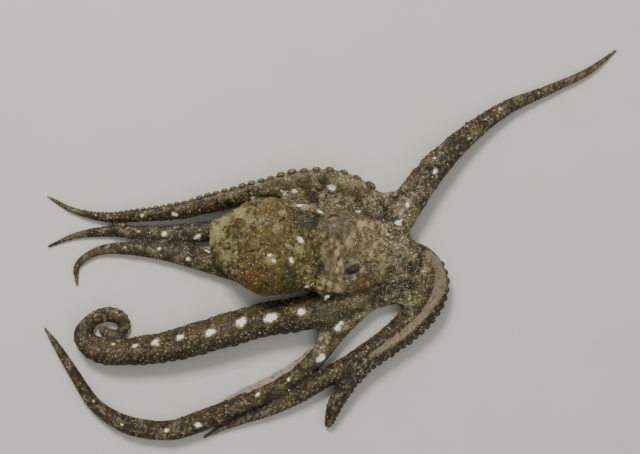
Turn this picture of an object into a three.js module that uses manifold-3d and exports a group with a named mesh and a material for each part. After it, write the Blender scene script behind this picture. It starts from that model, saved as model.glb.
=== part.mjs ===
// A small octopus lying on a level floor, life size, in millimetres, +Z up.
// The crown, where the arms meet, is the working centre; +X is the way the head points and
// +Y is the animal's left. Arms are numbered from the front on each side, left_1 to left_4
// and right_1 to right_4. Every body is a lofted, closed surface; neighbours are parted by GAP.
import * as THREE from 'three';
import { mergeVertices } from 'three/addons/utils/BufferGeometryUtils.js';
import Module from 'manifold-3d';

const wasm = await Module();
wasm.setup();

// ---- Driving sizes ----------------------------------------------------------------------

const GAP = 0.3; // clear space between neighbouring bodies
const ARM_SIDES = 10; // facets round an arm
const RING_STEP = 12; // longest band of facets along a straight stretch of arm
const RING_TURN = 32; // most degrees that an arm bends within one band of facets
const ARM_HEIGHT = 0.8; // an arm's height over its width
const ORAL_FLATNESS = 0.82; // the sucker side is flatter than the back
const SUCKER_SWELL = 0.06; // scalloping of the two sucker edges, as a share of the radius
const EYE_RADIUS = 7.5;
const EYE_MOUND_RADIUS = 10.2;
const EYE_STANDS_OUT = 4.6; // from the middle of the mound to the middle of the eye
const CROWN_RADIUS = 27;
const CROWN_NOTCH = { toward: 36, depth: 7, spread: 24 }; // between the two front arms, in degrees
const CROWN_HEIGHT = 27;
const FLOOR_CLEARANCE = 0.8; // the crown and webs just clear the floor

// Each arm: its route from the crown to its tip as [x, y, width], how far it is rolled so
// that one row of suckers shows (degrees, positive to the animal's right of the route), and
// the shares of its length at which it is parted. Arms higher in the list lie over lower ones.
const ARMS = {
  arm_right_1: {
    roll: -65,
    cuts: [0.27, 0.52, 0.77],
    route: [
      [11, 0, 19], [22, 0.5, 17], [31.5, -8.5, 16.5], [34.5, -22, 16.5], [29, -37.5, 17],
      [16, -52, 16.5], [-1, -64.5, 16], [-18, -76.5, 16], [-30, -91, 14.5], [-38, -105, 12],
      [-42.5, -119, 6],
    ],
  },
  arm_left_1: {
    roll: 35,
    cuts: [0.35, 0.68],
    route: [
      [2, 14, 24], [15, 37, 24.5], [32, 60.5, 22], [58, 86, 16], [84, 105, 12],
      [115, 119, 8], [144, 133, 6], [166, 150, 2],
    ],
  },
  arm_left_2: {
    roll: 70,
    cuts: [0.27, 0.53, 0.77],
    route: [
      [-8, 20, 24], [-15, 38, 24], [-33, 49, 23], [-58, 51, 21], [-88, 45, 18], [-117, 38, 16],
      [-145, 31, 14], [-173, 28, 11], [-198, 27, 8], [-220, 32, 5], [-240, 43, 2],
    ],
  },
  arm_right_4: {
    roll: -35,
    cuts: [0.17, 0.33, 0.49, 0.64, 0.76, 0.85, 0.93],
    route: [
      [-10, -15, 24], [-28, -30, 25], [-53, -40, 26], [-82, -45, 26], [-105, -51, 26],
      [-129, -58, 25], [-153, -64, 23], [-176, -67, 21], [-193, -67, 20], [-204, -63, 17.5],
      [-209.5, -55, 14.5], [-206, -47, 11], [-198, -42, 11], [-190, -41.5, 11.5],
      [-183, -45, 10], [-182, -50.5, 8.4], [-186, -54.4, 7.4], [-191.5, -54.2, 7],
      [-196.6, -52.2, 6.4], [-199.8, -53.8, 4.6],
    ],
  },
  arm_right_3: {
    roll: -20,
    cuts: [0.22, 0.42, 0.62, 0.82],
    route: [
      [-5, -20, 20], [-20.5, -35.5, 18], [-35.5, -51.5, 16], [-47.5, -68.5, 13.5],
      [-63, -83, 12.5], [-80.5, -93.5, 12.5], [-98, -101, 13], [-114, -108, 14], [-131, -115, 15],
      [-148, -120, 14],
      [-176, -117, 13], [-199, -104, 10], [-214, -84, 8], [-226, -66, 6], [-238, -49, 2],
    ],
  },
  arm_right_2: {
    roll: -35,
    cuts: [0.25, 0.5, 0.75],
    route: [
      [9, -7, 20], [20, -14, 20], [23, -28, 17], [13, -44, 16], [-5, -60, 15], [-25, -74, 15],
      [-45, -86, 14], [-63, -97, 12], [-80, -106, 9], [-97, -112, 7], [-113, -118, 5], [-127, -125, 2],
    ],
  },
  arm_left_3: {
    roll: 10,
    cuts: [0.34, 0.67],
    route: [
      [-14, 6, 20], [-40, 13, 19], [-82, 17, 17], [-122, 17, 15], [-148, 15, 13],
      [-173, 16, 10], [-196, 17, 8], [-218, 14, 5], [-238, 6, 2],
    ],
  },
  arm_left_4: {
    roll: -10,
    cuts: [0.27, 0.52, 0.76],
    route: [
      [-16, -8, 21], [-47, -14, 21], [-82, -16, 20], [-111, -8, 18], [-137, -1, 16],
      [-158, 3, 13], [-180, 5, 10], [-202, 3, 7], [-216, -7, 5], [-216, -22, 2],
    ],
  },
};

// Stations of the two lofted trunks, from the rear forward:
// [x, y of the middle, half width, top, underside].
const MANTLE = [
  [-123.5, 12, 4, 19, 13], [-121, 10, 11, 25, 10], [-115, 6.5, 18, 31, 8], [-106, 5, 24, 37, 7],
  [-96, 4, 30, 42, 7], [-86, 3, 33.5, 45, 8], [-75, 3, 33, 45, 9], [-65, 2.5, 31, 42, 10],
  [-58, 2.5, 29, 37, 11], [-55, 2.5, 25, 32, 13],
];
const HEAD = [
  [-64, 2, 22, 30, 14], [-56, 2, 26, 32, 13], [-47, 2, 28, 32, 12], [-37, 1, 29, 34, 11],
  [-26, 0, 28, 35, 11], [-15, 0, 24.5, 33, 12], [-6, 0, 19, 29, 14], [-1, 0, 11, 25, 17],
];

// Eyes, each with the way it looks; the head is turned a little to the animal's left.
const EYES = {
  eye_left: { at: [-37.5, 16.5, 29], looks: [-0.15, 0.85, 0.42] },
  eye_right: { at: [-27, -11.5, 28.5], looks: [0.2, -0.6, 0.75] },
};

const FUNNEL = {
  root: [-53, -18, 19], mouth: [-40, -30.5, 19.5], rootRadius: 5.5, mouthRadius: 4, bore: 2.4,
};

// Webs between neighbouring arms: how far along each of the two arms the web runs, its
// height at the crown and at its free edge, and how far the free edge is scooped out.
const WEBS = {
  web_left_1_to_left_2: {
    arms: ['arm_left_2', 'arm_left_1'], reach: [0.2, 0.2], heights: [16, 8], scoop: 0.3,
  },
  web_left_2_to_left_3: {
    arms: ['arm_left_3', 'arm_left_2'], reach: [0.28, 0.36], heights: [16, 10], scoop: 0.1,
  },
  web_right_4_to_right_3: {
    arms: ['arm_right_3', 'arm_right_4'], reach: [0.25, 0.23], heights: [16, 7], scoop: 0.2,
  },
  web_right_3_to_right_2: {
    arms: ['arm_right_2', 'arm_right_3'], reach: [0.2, 0.14], heights: [15, 6], scoop: 0.3,
  },
};
const WEB_THICKNESS = 6;

// A loose skin fin along the front edge of one arm.
const FIN = { arm: 'arm_right_3', from: 0.24, to: 0.44, stands: 4, height: 6.5, thickness: 1.4 };

const COLOURS = {
  arm: 0x3e3019,
  mantle: 0x8a7a4a,
  head: 0x7c6648,
  crown: 0x4a4128,
  web: 0x454028,
  fin: 0x9a8c88,
  funnel: 0x6d5f42,
  eye: 0x5d5247,
};

// ---- Closed surfaces --------------------------------------------------------------------

// Moves every vertex of a closed three.js geometry and returns it as a solid.
function shaped(geometry, move) {
  geometry.deleteAttribute('normal');
  geometry.deleteAttribute('uv');
  const merged = mergeVertices(geometry);
  const position = merged.attributes.position;
  const v = new THREE.Vector3();
  for (let i = 0; i < position.count; i += 1) {
    move(v.fromBufferAttribute(position, i));
    position.setXYZ(i, v.x, v.y, v.z);
  }
  return new wasm.Manifold(new wasm.Mesh({
    numProp: 3,
    vertProperties: Float32Array.from(position.array),
    triVerts: Uint32Array.from(merged.index.array),
  }));
}

// A unit tube whose axis is Y; its first corner pair straddles the underside, so that a
// flat facet lies below.
function unitTube(sides, steps) {
  return new THREE.CylinderGeometry(1, 1, 1, sides, steps, false, Math.PI / sides);
}

function largestPiece(solid) {
  const pieces = solid.decompose();
  return pieces.reduce((best, piece) => (piece.volume() > best.volume() ? piece : best));
}

function toMesh(name, solid, colour) {
  const { vertProperties, triVerts } = solid.getMesh();
  const geometry = new THREE.BufferGeometry();
  geometry.setAttribute('position', new THREE.BufferAttribute(Float32Array.from(vertProperties), 3));
  geometry.setIndex(new THREE.BufferAttribute(Uint32Array.from(triVerts), 1));
  geometry.computeVertexNormals();
  const material = new THREE.MeshStandardMaterial({ color: colour, roughness: 0.55, metalness: 0 });
  const mesh = new THREE.Mesh(geometry, material);
  mesh.name = name;
  return mesh;
}

// ---- Arms -------------------------------------------------------------------------------

// The curve's third coordinate carries the arm's width.
function armCurve({ route }) {
  return new THREE.CatmullRomCurve3(route.map(([x, y, width]) => new THREE.Vector3(x, y, width)));
}

// The place, heading and right-hand side of an arm at a share u of its length.
function armFrame(curve, u) {
  const at = curve.getPointAt(THREE.MathUtils.clamp(u, 0, 1));
  const tangent = curve.getTangentAt(THREE.MathUtils.clamp(u, 0, 1));
  const heading = new THREE.Vector2(tangent.x, tangent.y).normalize();
  const right = new THREE.Vector2(heading.y, -heading.x);
  return { x: at.x, y: at.y, width: Math.max(at.z, 1.6), heading, right };
}

// Shares of an arm's length at which its rings stand: closer together where it bends.
function ringPlaces(curve, from, to) {
  const samples = 60;
  const length = curve.getLength();
  const need = [0];
  let last = armFrame(curve, from);
  for (let i = 1; i <= samples; i += 1) {
    const next = armFrame(curve, from + ((to - from) * i) / samples);
    const bend = THREE.MathUtils.radToDeg(Math.acos(Math.min(1, last.heading.dot(next.heading))));
    need.push(need[i - 1] + ((to - from) * length) / samples / RING_STEP + bend / RING_TURN);
    last = next;
  }
  const steps = Math.max(3, Math.round(need[samples]));
  return Array.from({ length: steps + 1 }, (_, ring) => {
    const wanted = (need[samples] * ring) / steps;
    const after = Math.max(1, need.findIndex((value) => value >= wanted - 1e-9));
    const within = (wanted - need[after - 1]) / (need[after] - need[after - 1]);
    return from + ((to - from) * (after - 1 + within)) / samples;
  });
}

// One length of an arm between two shares of its whole length. `grow` swells it on every
// side, which makes the tool that parts its neighbours from it.
function armLength(curve, roll, from, to, grow) {
  const places = ringPlaces(curve, from, to);
  const steps = places.length - 1;
  const turn = THREE.MathUtils.degToRad(roll);
  return shaped(unitTube(ARM_SIDES, steps), (v) => {
    const along = v.y + 0.5;
    const ring = Math.round(along * steps);
    const frame = armFrame(curve, places[ring]);
    const halfWidth = frame.width / 2;
    const halfHeight = halfWidth * ARM_HEIGHT;
    const onSuckerRow = v.z < -0.3 && v.z > -0.8;
    const swell = onSuckerRow ? 1 + SUCKER_SWELL * (ring % 2 === 0 ? 1 : -0.4) : 1;
    const across = v.x * (halfWidth * swell + grow);
    const up = v.z * ((v.z < 0 ? halfHeight * ORAL_FLATNESS * swell : halfHeight) + grow);
    const sag = 0.93 * Math.hypot(halfWidth * Math.sin(turn), halfHeight * ORAL_FLATNESS * Math.cos(turn));
    const side = across * Math.cos(turn) - up * Math.sin(turn);
    const height = sag + up * Math.cos(turn) + across * Math.sin(turn);
    const endShift = (along === 0 ? -grow : 0) + (along === 1 ? grow : 0);
    v.set(
      frame.x + frame.right.x * side + frame.heading.x * endShift,
      frame.y + frame.right.y * side + frame.heading.y * endShift,
      Math.max(height, -grow),
    );
  });
}

function buildArm(name, arm) {
  const curve = armCurve(arm);
  const halfGap = GAP / 2 / curve.getLength();
  const ends = [0, ...arm.cuts, 1];
  return ends.slice(1).map((end, k) => {
    const from = ends[k] + (k > 0 ? halfGap : 0);
    const to = end - (end < 1 ? halfGap : 0);
    return {
      name: `${name}_length_${k + 1}`,
      family: name,
      colour: COLOURS.arm,
      body: armLength(curve, arm.roll, from, to, 0),
      cutter: armLength(curve, arm.roll, from, to, GAP),
    };
  });
}

// ---- Trunk, crown, eyes and funnel --------------------------------------------------------

// A rounded sack lofted along X through a table of stations.
function sack(stations, sides, steps, grow) {
  const through = (points) => new THREE.CatmullRomCurve3(points.map((point) => new THREE.Vector3(...point)));
  const outline = through(stations.map(([x, y, half]) => [x, y, half]));
  const profile = through(stations.map(([x, , , top, under]) => [x, top, under]));
  return shaped(unitTube(sides, steps), (v) => {
    const along = v.y + 0.5;
    const { x, y: middle, z: half } = outline.getPoint(along);
    const { y: top, z: under } = profile.getPoint(along);
    const waist = under + 0.42 * (top - under);
    const blunt = (value) => Math.sign(value) * Math.abs(value) ** 0.86;
    const rise = v.z > 0 ? top - waist : waist - under;
    const endShift = (along === 0 ? -grow : 0) + (along === 1 ? grow : 0);
    v.set(x + endShift, middle - blunt(v.x) * (half + grow), waist + blunt(v.z) * (rise + grow));
  });
}

function crown(grow) {
  return shaped(unitTube(24, 6), (v) => {
    const level = v.y + 0.5;
    const slope = level * THREE.MathUtils.degToRad(84);
    const turn = THREE.MathUtils.radToDeg(Math.atan2(-v.z, v.x)) - CROWN_NOTCH.toward;
    const notch = CROWN_NOTCH.depth * Math.exp(-((turn / CROWN_NOTCH.spread) ** 2));
    const reach = (CROWN_RADIUS - notch + grow) * Math.cos(slope) ** 0.62;
    const under = grow > 0 ? -1 : FLOOR_CLEARANCE;
    const lift = THREE.MathUtils.lerp(FLOOR_CLEARANCE, CROWN_HEIGHT + grow, Math.sin(slope));
    v.set(v.x * reach, -v.z * reach, level === 0 ? under : lift);
  });
}

function ball(at, radius) {
  return shaped(new THREE.SphereGeometry(radius, 12, 8), (v) => v.add(new THREE.Vector3(...at)));
}

// The tapered funnel with its open bore, turned from a profile that starts and ends on the
// axis. Grown, it is the same without the bore.
function funnel(grow) {
  const root = new THREE.Vector3(...FUNNEL.root);
  const reach = new THREE.Vector3(...FUNNEL.mouth).sub(root);
  const length = reach.length();
  const outside = [
    [0, -grow],
    [FUNNEL.rootRadius + grow, -grow],
    [(FUNNEL.rootRadius + FUNNEL.mouthRadius) / 2 + 0.5 + grow, length * 0.5],
    [FUNNEL.mouthRadius + grow, length + grow],
  ];
  const bore = [[FUNNEL.bore, length], [FUNNEL.bore * 0.8, length * 0.4], [0, length * 0.4]];
  const profile = [...outside, ...(grow > 0 ? [[0, length + grow]] : bore)];
  const lathe = new THREE.LatheGeometry(profile.map(([r, y]) => new THREE.Vector2(r, y)), 12);
  const turn = new THREE.Quaternion().setFromUnitVectors(new THREE.Vector3(0, 1, 0), reach.normalize());
  return shaped(lathe, (v) => v.applyQuaternion(turn).add(root));
}

// ---- Webs and fin -------------------------------------------------------------------------

// A sheet of skin spanning from one arm's centre line to the next.
function web({ arms, reach, heights, scoop }) {
  const curves = arms.map((name) => armCurve(ARMS[name]));
  return shaped(new THREE.BoxGeometry(1, 1, 1, 4, 4, 1), (v) => {
    const across = v.x + 0.5;
    const scooped = 1 - scoop * (1 - (2 * v.x) ** 2);
    const outward = (v.y + 0.5) * scooped;
    const ends = curves.map((curve, i) => armFrame(curve, outward * reach[i]));
    const slump = 1 - 0.3 * (1 - (2 * v.x) ** 2);
    const top = THREE.MathUtils.lerp(heights[0], heights[1], outward) * slump;
    v.set(
      THREE.MathUtils.lerp(ends[0].x, ends[1].x, across),
      THREE.MathUtils.lerp(ends[0].y, ends[1].y, across),
      v.z > 0 ? top : Math.max(top - WEB_THICKNESS, FLOOR_CLEARANCE),
    );
  });
}

function fin() {
  const curve = armCurve(ARMS[FIN.arm]);
  return shaped(new THREE.BoxGeometry(1, 1, 1, 1, 8, 1), (v) => {
    const along = v.y + 0.5;
    const frame = armFrame(curve, THREE.MathUtils.lerp(FIN.from, FIN.to, along));
    const stands = FIN.stands * Math.sin(Math.PI * (0.08 + 0.84 * along));
    const side = v.x < 0 ? frame.width * 0.25 : frame.width / 2 + stands;
    const edgeDrop = v.x < 0 ? 0 : FIN.height * 0.5;
    v.set(
      frame.x + frame.right.x * side,
      frame.y + frame.right.y * side,
      FIN.height - edgeDrop + v.z * FIN.thickness,
    );
  });
}

// ---- Putting the animal together ------------------------------------------------------------

// The head with a mound round each eye.
function head(grow) {
  const mounds = Object.values(EYES).map(({ at, looks }) => {
    const inward = new THREE.Vector3(...looks).normalize().multiplyScalar(-EYE_STANDS_OUT);
    return ball(inward.add(new THREE.Vector3(...at)).toArray(), EYE_MOUND_RADIUS + grow);
  });
  return mounds.reduce((sum, mound) => sum.add(mound), sack(HEAD, 16, 9, grow));
}

// A body that other bodies give way to: `shape` takes how far it is grown.
function firm(name, colour, shape) {
  return { name, family: name, colour, body: shape(0), cutter: shape(GAP) };
}

// Bodies in the order in which they keep their shape: each gives way to all before it.
const parts = [
  firm('eye_left', COLOURS.eye, (grow) => ball(EYES.eye_left.at, EYE_RADIUS + grow)),
  firm('eye_right', COLOURS.eye, (grow) => ball(EYES.eye_right.at, EYE_RADIUS + grow)),
  firm('funnel', COLOURS.funnel, funnel),
  firm('mantle', COLOURS.mantle, (grow) => sack(MANTLE, 18, 14, grow)),
  firm('head', COLOURS.head, head),
  firm('crown', COLOURS.crown, crown),
];
for (const [name, arm] of Object.entries(ARMS)) {
  parts.push(...buildArm(name, arm));
}
for (const [name, shape] of Object.entries(WEBS)) {
  parts.push({ name, family: name, colour: COLOURS.web, body: web(shape), cutter: null });
}
parts.push({ name: `${FIN.arm}_fin`, family: 'fin', colour: COLOURS.fin, body: fin(), cutter: null });

const group = new THREE.Group();
parts.forEach((part, index) => {
  const above = parts.slice(0, index).filter(({ family, cutter }) => cutter && family !== part.family);
  const cut = above.reduce((solid, { cutter }) => solid.subtract(cutter), part.body);
  group.add(toMesh(part.name, largestPiece(cut), part.colour));
});

// The frame's origin is the middle of the footprint's box, on the floor.
const box = new THREE.Box3().setFromObject(group);
const centre = box.getCenter(new THREE.Vector3());
group.position.set(-centre.x, -centre.y, -box.min.z);

export default group;
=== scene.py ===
"""Still, life-size model of a small octopus: skin, suckers, eyes, beads, papillae and stage.

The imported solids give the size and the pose. One skin is grown from the same lofted shapes,
merged into a single surface, and stands for all the solids of flesh. The suckers, the
eyeballs, the beads and the papillae are pieces of their own. Lengths in the tables are
millimetres from the middle of the crown, with X running from the mantle to the crown and Y
to the animal's left; `placed` turns them into metres in the solids' frame.
"""
import math

import bpy
import numpy as np
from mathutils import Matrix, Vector, noise
from mathutils.bvhtree import BVHTree
from mathutils.kdtree import KDTree


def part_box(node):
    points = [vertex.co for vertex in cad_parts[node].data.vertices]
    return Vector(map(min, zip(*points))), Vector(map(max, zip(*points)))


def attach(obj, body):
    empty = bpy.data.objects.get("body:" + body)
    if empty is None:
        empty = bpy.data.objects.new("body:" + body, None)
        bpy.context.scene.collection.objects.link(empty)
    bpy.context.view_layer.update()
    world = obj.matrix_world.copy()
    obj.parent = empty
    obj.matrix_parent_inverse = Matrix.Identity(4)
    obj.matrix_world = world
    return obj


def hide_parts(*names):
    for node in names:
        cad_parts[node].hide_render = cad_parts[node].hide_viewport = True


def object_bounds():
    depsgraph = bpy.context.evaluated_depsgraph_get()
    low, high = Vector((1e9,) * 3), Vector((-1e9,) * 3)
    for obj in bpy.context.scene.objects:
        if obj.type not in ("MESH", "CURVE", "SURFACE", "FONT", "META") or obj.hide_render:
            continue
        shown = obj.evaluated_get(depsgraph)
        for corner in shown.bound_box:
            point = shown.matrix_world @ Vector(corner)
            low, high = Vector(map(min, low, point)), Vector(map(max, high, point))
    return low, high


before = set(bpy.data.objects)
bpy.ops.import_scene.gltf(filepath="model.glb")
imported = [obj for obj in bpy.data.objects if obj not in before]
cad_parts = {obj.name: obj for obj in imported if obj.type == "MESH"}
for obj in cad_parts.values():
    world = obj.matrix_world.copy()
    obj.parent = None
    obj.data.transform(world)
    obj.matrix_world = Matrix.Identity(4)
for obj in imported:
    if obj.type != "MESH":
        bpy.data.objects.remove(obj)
CAD_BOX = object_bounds()

bl_info = {
    "name": "Small octopus",
    "version": (1, 0, 0),
    "blender": (4, 5, 0),
    "location": "View3D > Sidebar > Octopus",
    "description": "Skin, suckers, eyes, beads, papillae and stage of a still, life-size octopus",
    "category": "Object",
}

SEED = 8
MM = 0.001

# ---- The lofted shapes of the solids ------------------------------------------------------

ARM_HEIGHT = 0.8  # an arm's height over its width
ORAL_FLATNESS = 0.82  # the sucker side is flatter than the back
ARM_SINKS = 0.93  # an arm's middle stands this share of its depth above the floor
SKIN_CLEARANCE = 0.9  # arms rest on their suckers, this far above the floor
BOX_MARGIN = np.array([0.00005, 0.00005, 0])
EYE_RADIUS = 7.5
EYE_MOUND_RADIUS = 10.2
EYE_STANDS_OUT = 4.6  # from the middle of the mound to the middle of the eye
LID_GAP = 0.3  # between the eyeball and the middle of its lids
LID_SCALE = 10  # the ring of the lids is this much thinner until it is shaped
CROWN_RADIUS = 27
CROWN_HEIGHT = 27
CROWN_NOTCH = {"toward": 36, "depth": 7, "spread": 24}  # between the two front arms, in degrees
CROWN_FULLNESS = 0.62  # below 1 its edge falls off steeply
CROWN_UNDERSIDE = 6  # how soon its flat underside reaches its edge
CROWN_GRID = (64, 48)  # sides and rings of a ball before it is shaped, here and below
MOUND_GRID = (40, 28)
EYEBALL_GRID = (64, 48)
LIDS_GRID = {"major_segments": 56, "minor_segments": 14}
FOLD_SIDES = 16
FUNNEL_SIDES = 28
THINNEST_HALF = 1.1  # half width at the arms' tips
WAVE_SHARE = 0.025  # slow unevenness of an arm's outline, over its width
WAVE_LENGTH = 7.3
WAVE_DRIFT = 11
LINE_STEPS = 600  # along an arm's middle line
ARM_SIDES = 28
ARM_RING_STEP = 1.3
TRUNK_SIDES = 72
TRUNK_CLOSES = 40  # how quickly the trunk's bodies close at their ends
TRUNK_WAIST = 0.42  # height at which the trunk is widest, as a share
TRUNK_SQUARENESS = 0.86  # 1 for an ellipse, less for a boxier section

# Each arm: how far its suckers are rolled to its right (degrees), a sucker's radius over the
# arm's width, how far its rows of suckers lie from the middle of the sucker side where that
# isn't SUCKER_ROWS (degrees), the route of its middle as [x, y, width], its white spots as
# [distance along, offset to the right, half length], and its tones as [share of its length,
# gold, grey, flecks, pale shreds].
ARMS = {
    "arm_right_1": {
        "roll": -65,
        "suckers": 0.13,
        "rows": 46,
        "route": [
            [11, 0, 19], [22, 0.5, 17], [31.5, -8.5, 16.5], [34.5, -22, 16.5], [29, -37.5, 17],
            [16, -52, 16.5], [-1, -64.5, 16], [-18, -76.5, 16], [-30, -91, 14.5],
            [-38, -105, 12], [-42.5, -119, 6],
        ],
        "spots": [],
        "tones": [
            [0, 0.3, 0.2, 0.7, 0.6], [0.2, 0.3, 0.3, 0.7, 0.2], [0.6, 0.4, 0.4, 0.55, 0],
            [0.8, 0.3, 0.9, 0.3, 0], [0.9, 0.1, 1.0, 0.1, 0], [1, 0.1, 1.0, 0.0, 0],
        ],
    },
    "arm_left_1": {
        "roll": 35,
        "suckers": 0.13,
        "route": [
            [2, 14, 24], [15, 37, 24.5], [32, 60.5, 22], [58, 86, 16], [84, 105, 12],
            [115, 119, 8], [144, 133, 6], [166, 150, 2],
        ],
        "spots": [[22, 0, 2.0], [52, 3, 2.4], [60, -4, 1.4], [88, 3, 1.6], [119, -1, 1.4], [150, 0, 1.1]],
        "tones": [
            [0, 0.4, 0.1, 0.8, 0.7], [0.2, 0.4, 0.4, 0.6, 0.25], [0.4, 0.3, 0.6, 0.55, 0.1],
            [0.6, 0.3, 0.4, 0.5, 0], [1, 0.3, 0.2, 0.3, 0],
        ],
    },
    "arm_left_2": {
        "roll": 70,
        "suckers": 0.16,
        "rows": 58,
        "route": [
            [-8, 20, 24], [-15, 38, 24], [-33, 49, 23], [-58, 51, 21], [-88, 45, 18],
            [-117, 38, 16], [-145, 31, 14], [-173, 28, 11], [-198, 27, 8], [-220, 32, 5],
            [-240, 43, 2],
        ],
        "spots": [
            [47, -6, 3.2], [75, -7, 2.2], [82, -6, 2.2], [104, -5, 1.6], [137, -7, 2.2],
            [159, -3, 2.4], [182, -1, 1.6], [205, 0, 1.2],
        ],
        "tones": [
            [0, 0.5, 0.0, 0.9, 0.8], [0.12, 0.7, 0.0, 0.9, 0.45], [0.3, 0.7, 0.1, 0.9, 0.35],
            [0.5, 0.4, 0.4, 0.8, 0.2], [1, 0.2, 0.6, 0.5, 0],
        ],
    },
    "arm_right_4": {
        "roll": -35,
        "suckers": 0.12,
        "rows": 39,
        "route": [
            [-10, -15, 24], [-28, -30, 25], [-53, -40, 26], [-82, -45, 26], [-105, -51, 26],
            [-129, -58, 25], [-153, -64, 23], [-176, -67, 21], [-193, -67, 20],
            [-204, -63, 17.5], [-209.5, -55, 14.5], [-206, -47, 11], [-198, -42, 11],
            [-190, -41.5, 11.5], [-183, -45, 10], [-182, -50.5, 8.4], [-186, -54.4, 7.4],
            [-191.5, -54.2, 7], [-196.6, -52.2, 6.4], [-199.8, -53.8, 4.6],
        ],
        "spots": [
            [38, 5, 1.7], [58, 0, 3.2], [79, 0, 4.0], [99, 1, 4.0], [121, 1, 3.6], [141, 3, 2.4],
            [159, 3, 3.2], [173, 3, 1.8], [188, 5, 1.6],
        ],
        "tones": [
            [0, 0.4, 0.3, 0.6, 0.4], [0.12, 0.9, 0.1, 0.7, 0], [0.66, 0.9, 0.1, 0.65, 0],
            [0.8, 0.3, 0.4, 0.35, 0], [1, 0.2, 0.5, 0.15, 0],
        ],
    },
    "arm_right_3": {
        "roll": -20,
        "suckers": 0.13,
        "route": [
            [-5, -20, 20], [-20.5, -35.5, 18], [-35.5, -51.5, 16], [-47.5, -68.5, 13.5],
            [-63, -83, 12.5], [-80.5, -93.5, 12.5], [-98, -101, 13], [-114, -108, 14],
            [-131, -115, 15], [-148, -120, 14], [-176, -117, 13], [-199, -104, 10],
            [-214, -84, 8], [-226, -66, 6], [-238, -49, 2],
        ],
        "spots": [
            [42, 0, 3.6], [66, -3, 3.0], [92, 1, 1.6], [116, 1, 2.0], [160, -2, 2.4],
            [181, 0, 2.0], [212, -1, 1.2], [238, 1, 1.2],
        ],
        "tones": [
            [0, 0.3, 0.1, 0.9, 0.7], [0.2, 0.3, 0.2, 0.6, 0.3], [0.28, 0.4, 0.2, 0.25, 0],
            [0.5, 0.5, 0.2, 0.35, 0], [0.7, 0.4, 0.3, 0.4, 0], [1, 0.2, 0.3, 0.25, 0],
        ],
    },
    "arm_right_2": {
        "roll": -35,
        "suckers": 0.13,
        "route": [
            [9, -7, 20], [20, -14, 20], [23, -28, 17], [13, -44, 16], [-5, -60, 15],
            [-25, -74, 15], [-45, -86, 14], [-63, -97, 12], [-80, -106, 9], [-97, -112, 7],
            [-113, -118, 5], [-127, -125, 2],
        ],
        "spots": [],
        "tones": [
            [0, 0.4, 0.2, 0.9, 0.8], [0.2, 0.5, 0.4, 0.45, 0.1], [0.45, 0.7, 0.5, 0.5, 0],
            [1, 0.5, 0.8, 0.4, 0],
        ],
    },
    "arm_left_3": {
        "roll": 10,
        "suckers": 0.13,
        "route": [
            [-14, 6, 20], [-40, 13, 19], [-82, 17, 17], [-122, 17, 15], [-148, 15, 13],
            [-173, 16, 10], [-196, 17, 8], [-218, 14, 5], [-238, 6, 2],
        ],
        "spots": [[120, -4, 2.2], [142, -1, 2.2], [161, 0, 1.8], [184, 1, 1.3]],
        "tones": [[0, 0.3, 0.4, 0.8, 0.3], [1, 0.2, 0.6, 0.5, 0]],
    },
    "arm_left_4": {
        "roll": -10,
        "suckers": 0.13,
        "route": [
            [-16, -8, 21], [-47, -14, 21], [-82, -16, 20], [-111, -8, 18], [-137, -1, 16],
            [-158, 3, 13], [-180, 5, 10], [-202, 3, 7], [-216, -7, 5], [-216, -22, 2],
        ],
        "spots": [[113, 6, 1.8], [124, -3, 2.0], [146, 1, 1.6], [170, 0, 1.3]],
        "tones": [[0, 0.3, 0.3, 0.7, 0.3], [1, 0.3, 0.4, 0.5, 0]],
    },
}

# Stations of the two lofted trunks, from the rear forward:
# [x, y of the middle, half width, top, underside].
MANTLE = [
    [-123.5, 12, 4, 19, 13], [-121, 10, 11, 25, 10], [-115, 6.5, 18, 31, 8],
    [-106, 5, 24, 37, 7], [-96, 4, 30, 42, 7], [-86, 3, 33.5, 45, 8], [-75, 3, 33, 45, 9],
    [-65, 2.5, 31, 41.5, 10], [-57, 2.5, 29.5, 38, 11], [-50, 2.5, 27.5, 35, 12],
    [-45, 2, 22, 30, 14],
]
HEAD = [
    [-64, 2, 22, 30, 14], [-56, 2, 26, 32, 13], [-47, 2, 28, 32, 12], [-37, 1, 29, 34, 11],
    [-26, 0, 28, 35, 11], [-15, 0, 24.5, 33, 12], [-6, 0, 19, 29, 14], [-1, 0, 11, 25, 17],
]

# Eyes: where, the way each looks, the opening between its lids and the lids' thickness.
EYES = {
    "eye_left": {
        "at": [-37.5, 16.5, 29], "looks": [-0.15, 0.85, 0.42], "opening": [9.0, 6.4], "lid": 1.8,
    },
    "eye_right": {
        "at": [-27, -11.5, 28.5], "looks": [0.2, -0.6, 0.75], "opening": [8.4, 6.0], "lid": 2.1,
    },
}
low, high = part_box("eye_left")
CROWN_MIDDLE = np.array([(low.x + high.x) / 2, (low.y + high.y) / 2, 0.0])
CROWN_MIDDLE -= np.array([*EYES["eye_left"]["at"][:2], 0]) * MM

# The funnel; how deep the bore goes is a share of its length.
FUNNEL = {
    "root": [-53, -18, 19], "mouth": [-40, -30.5, 19.5], "radii": [5.5, 4], "bore": 2.4, "depth": 0.6,
}

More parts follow.
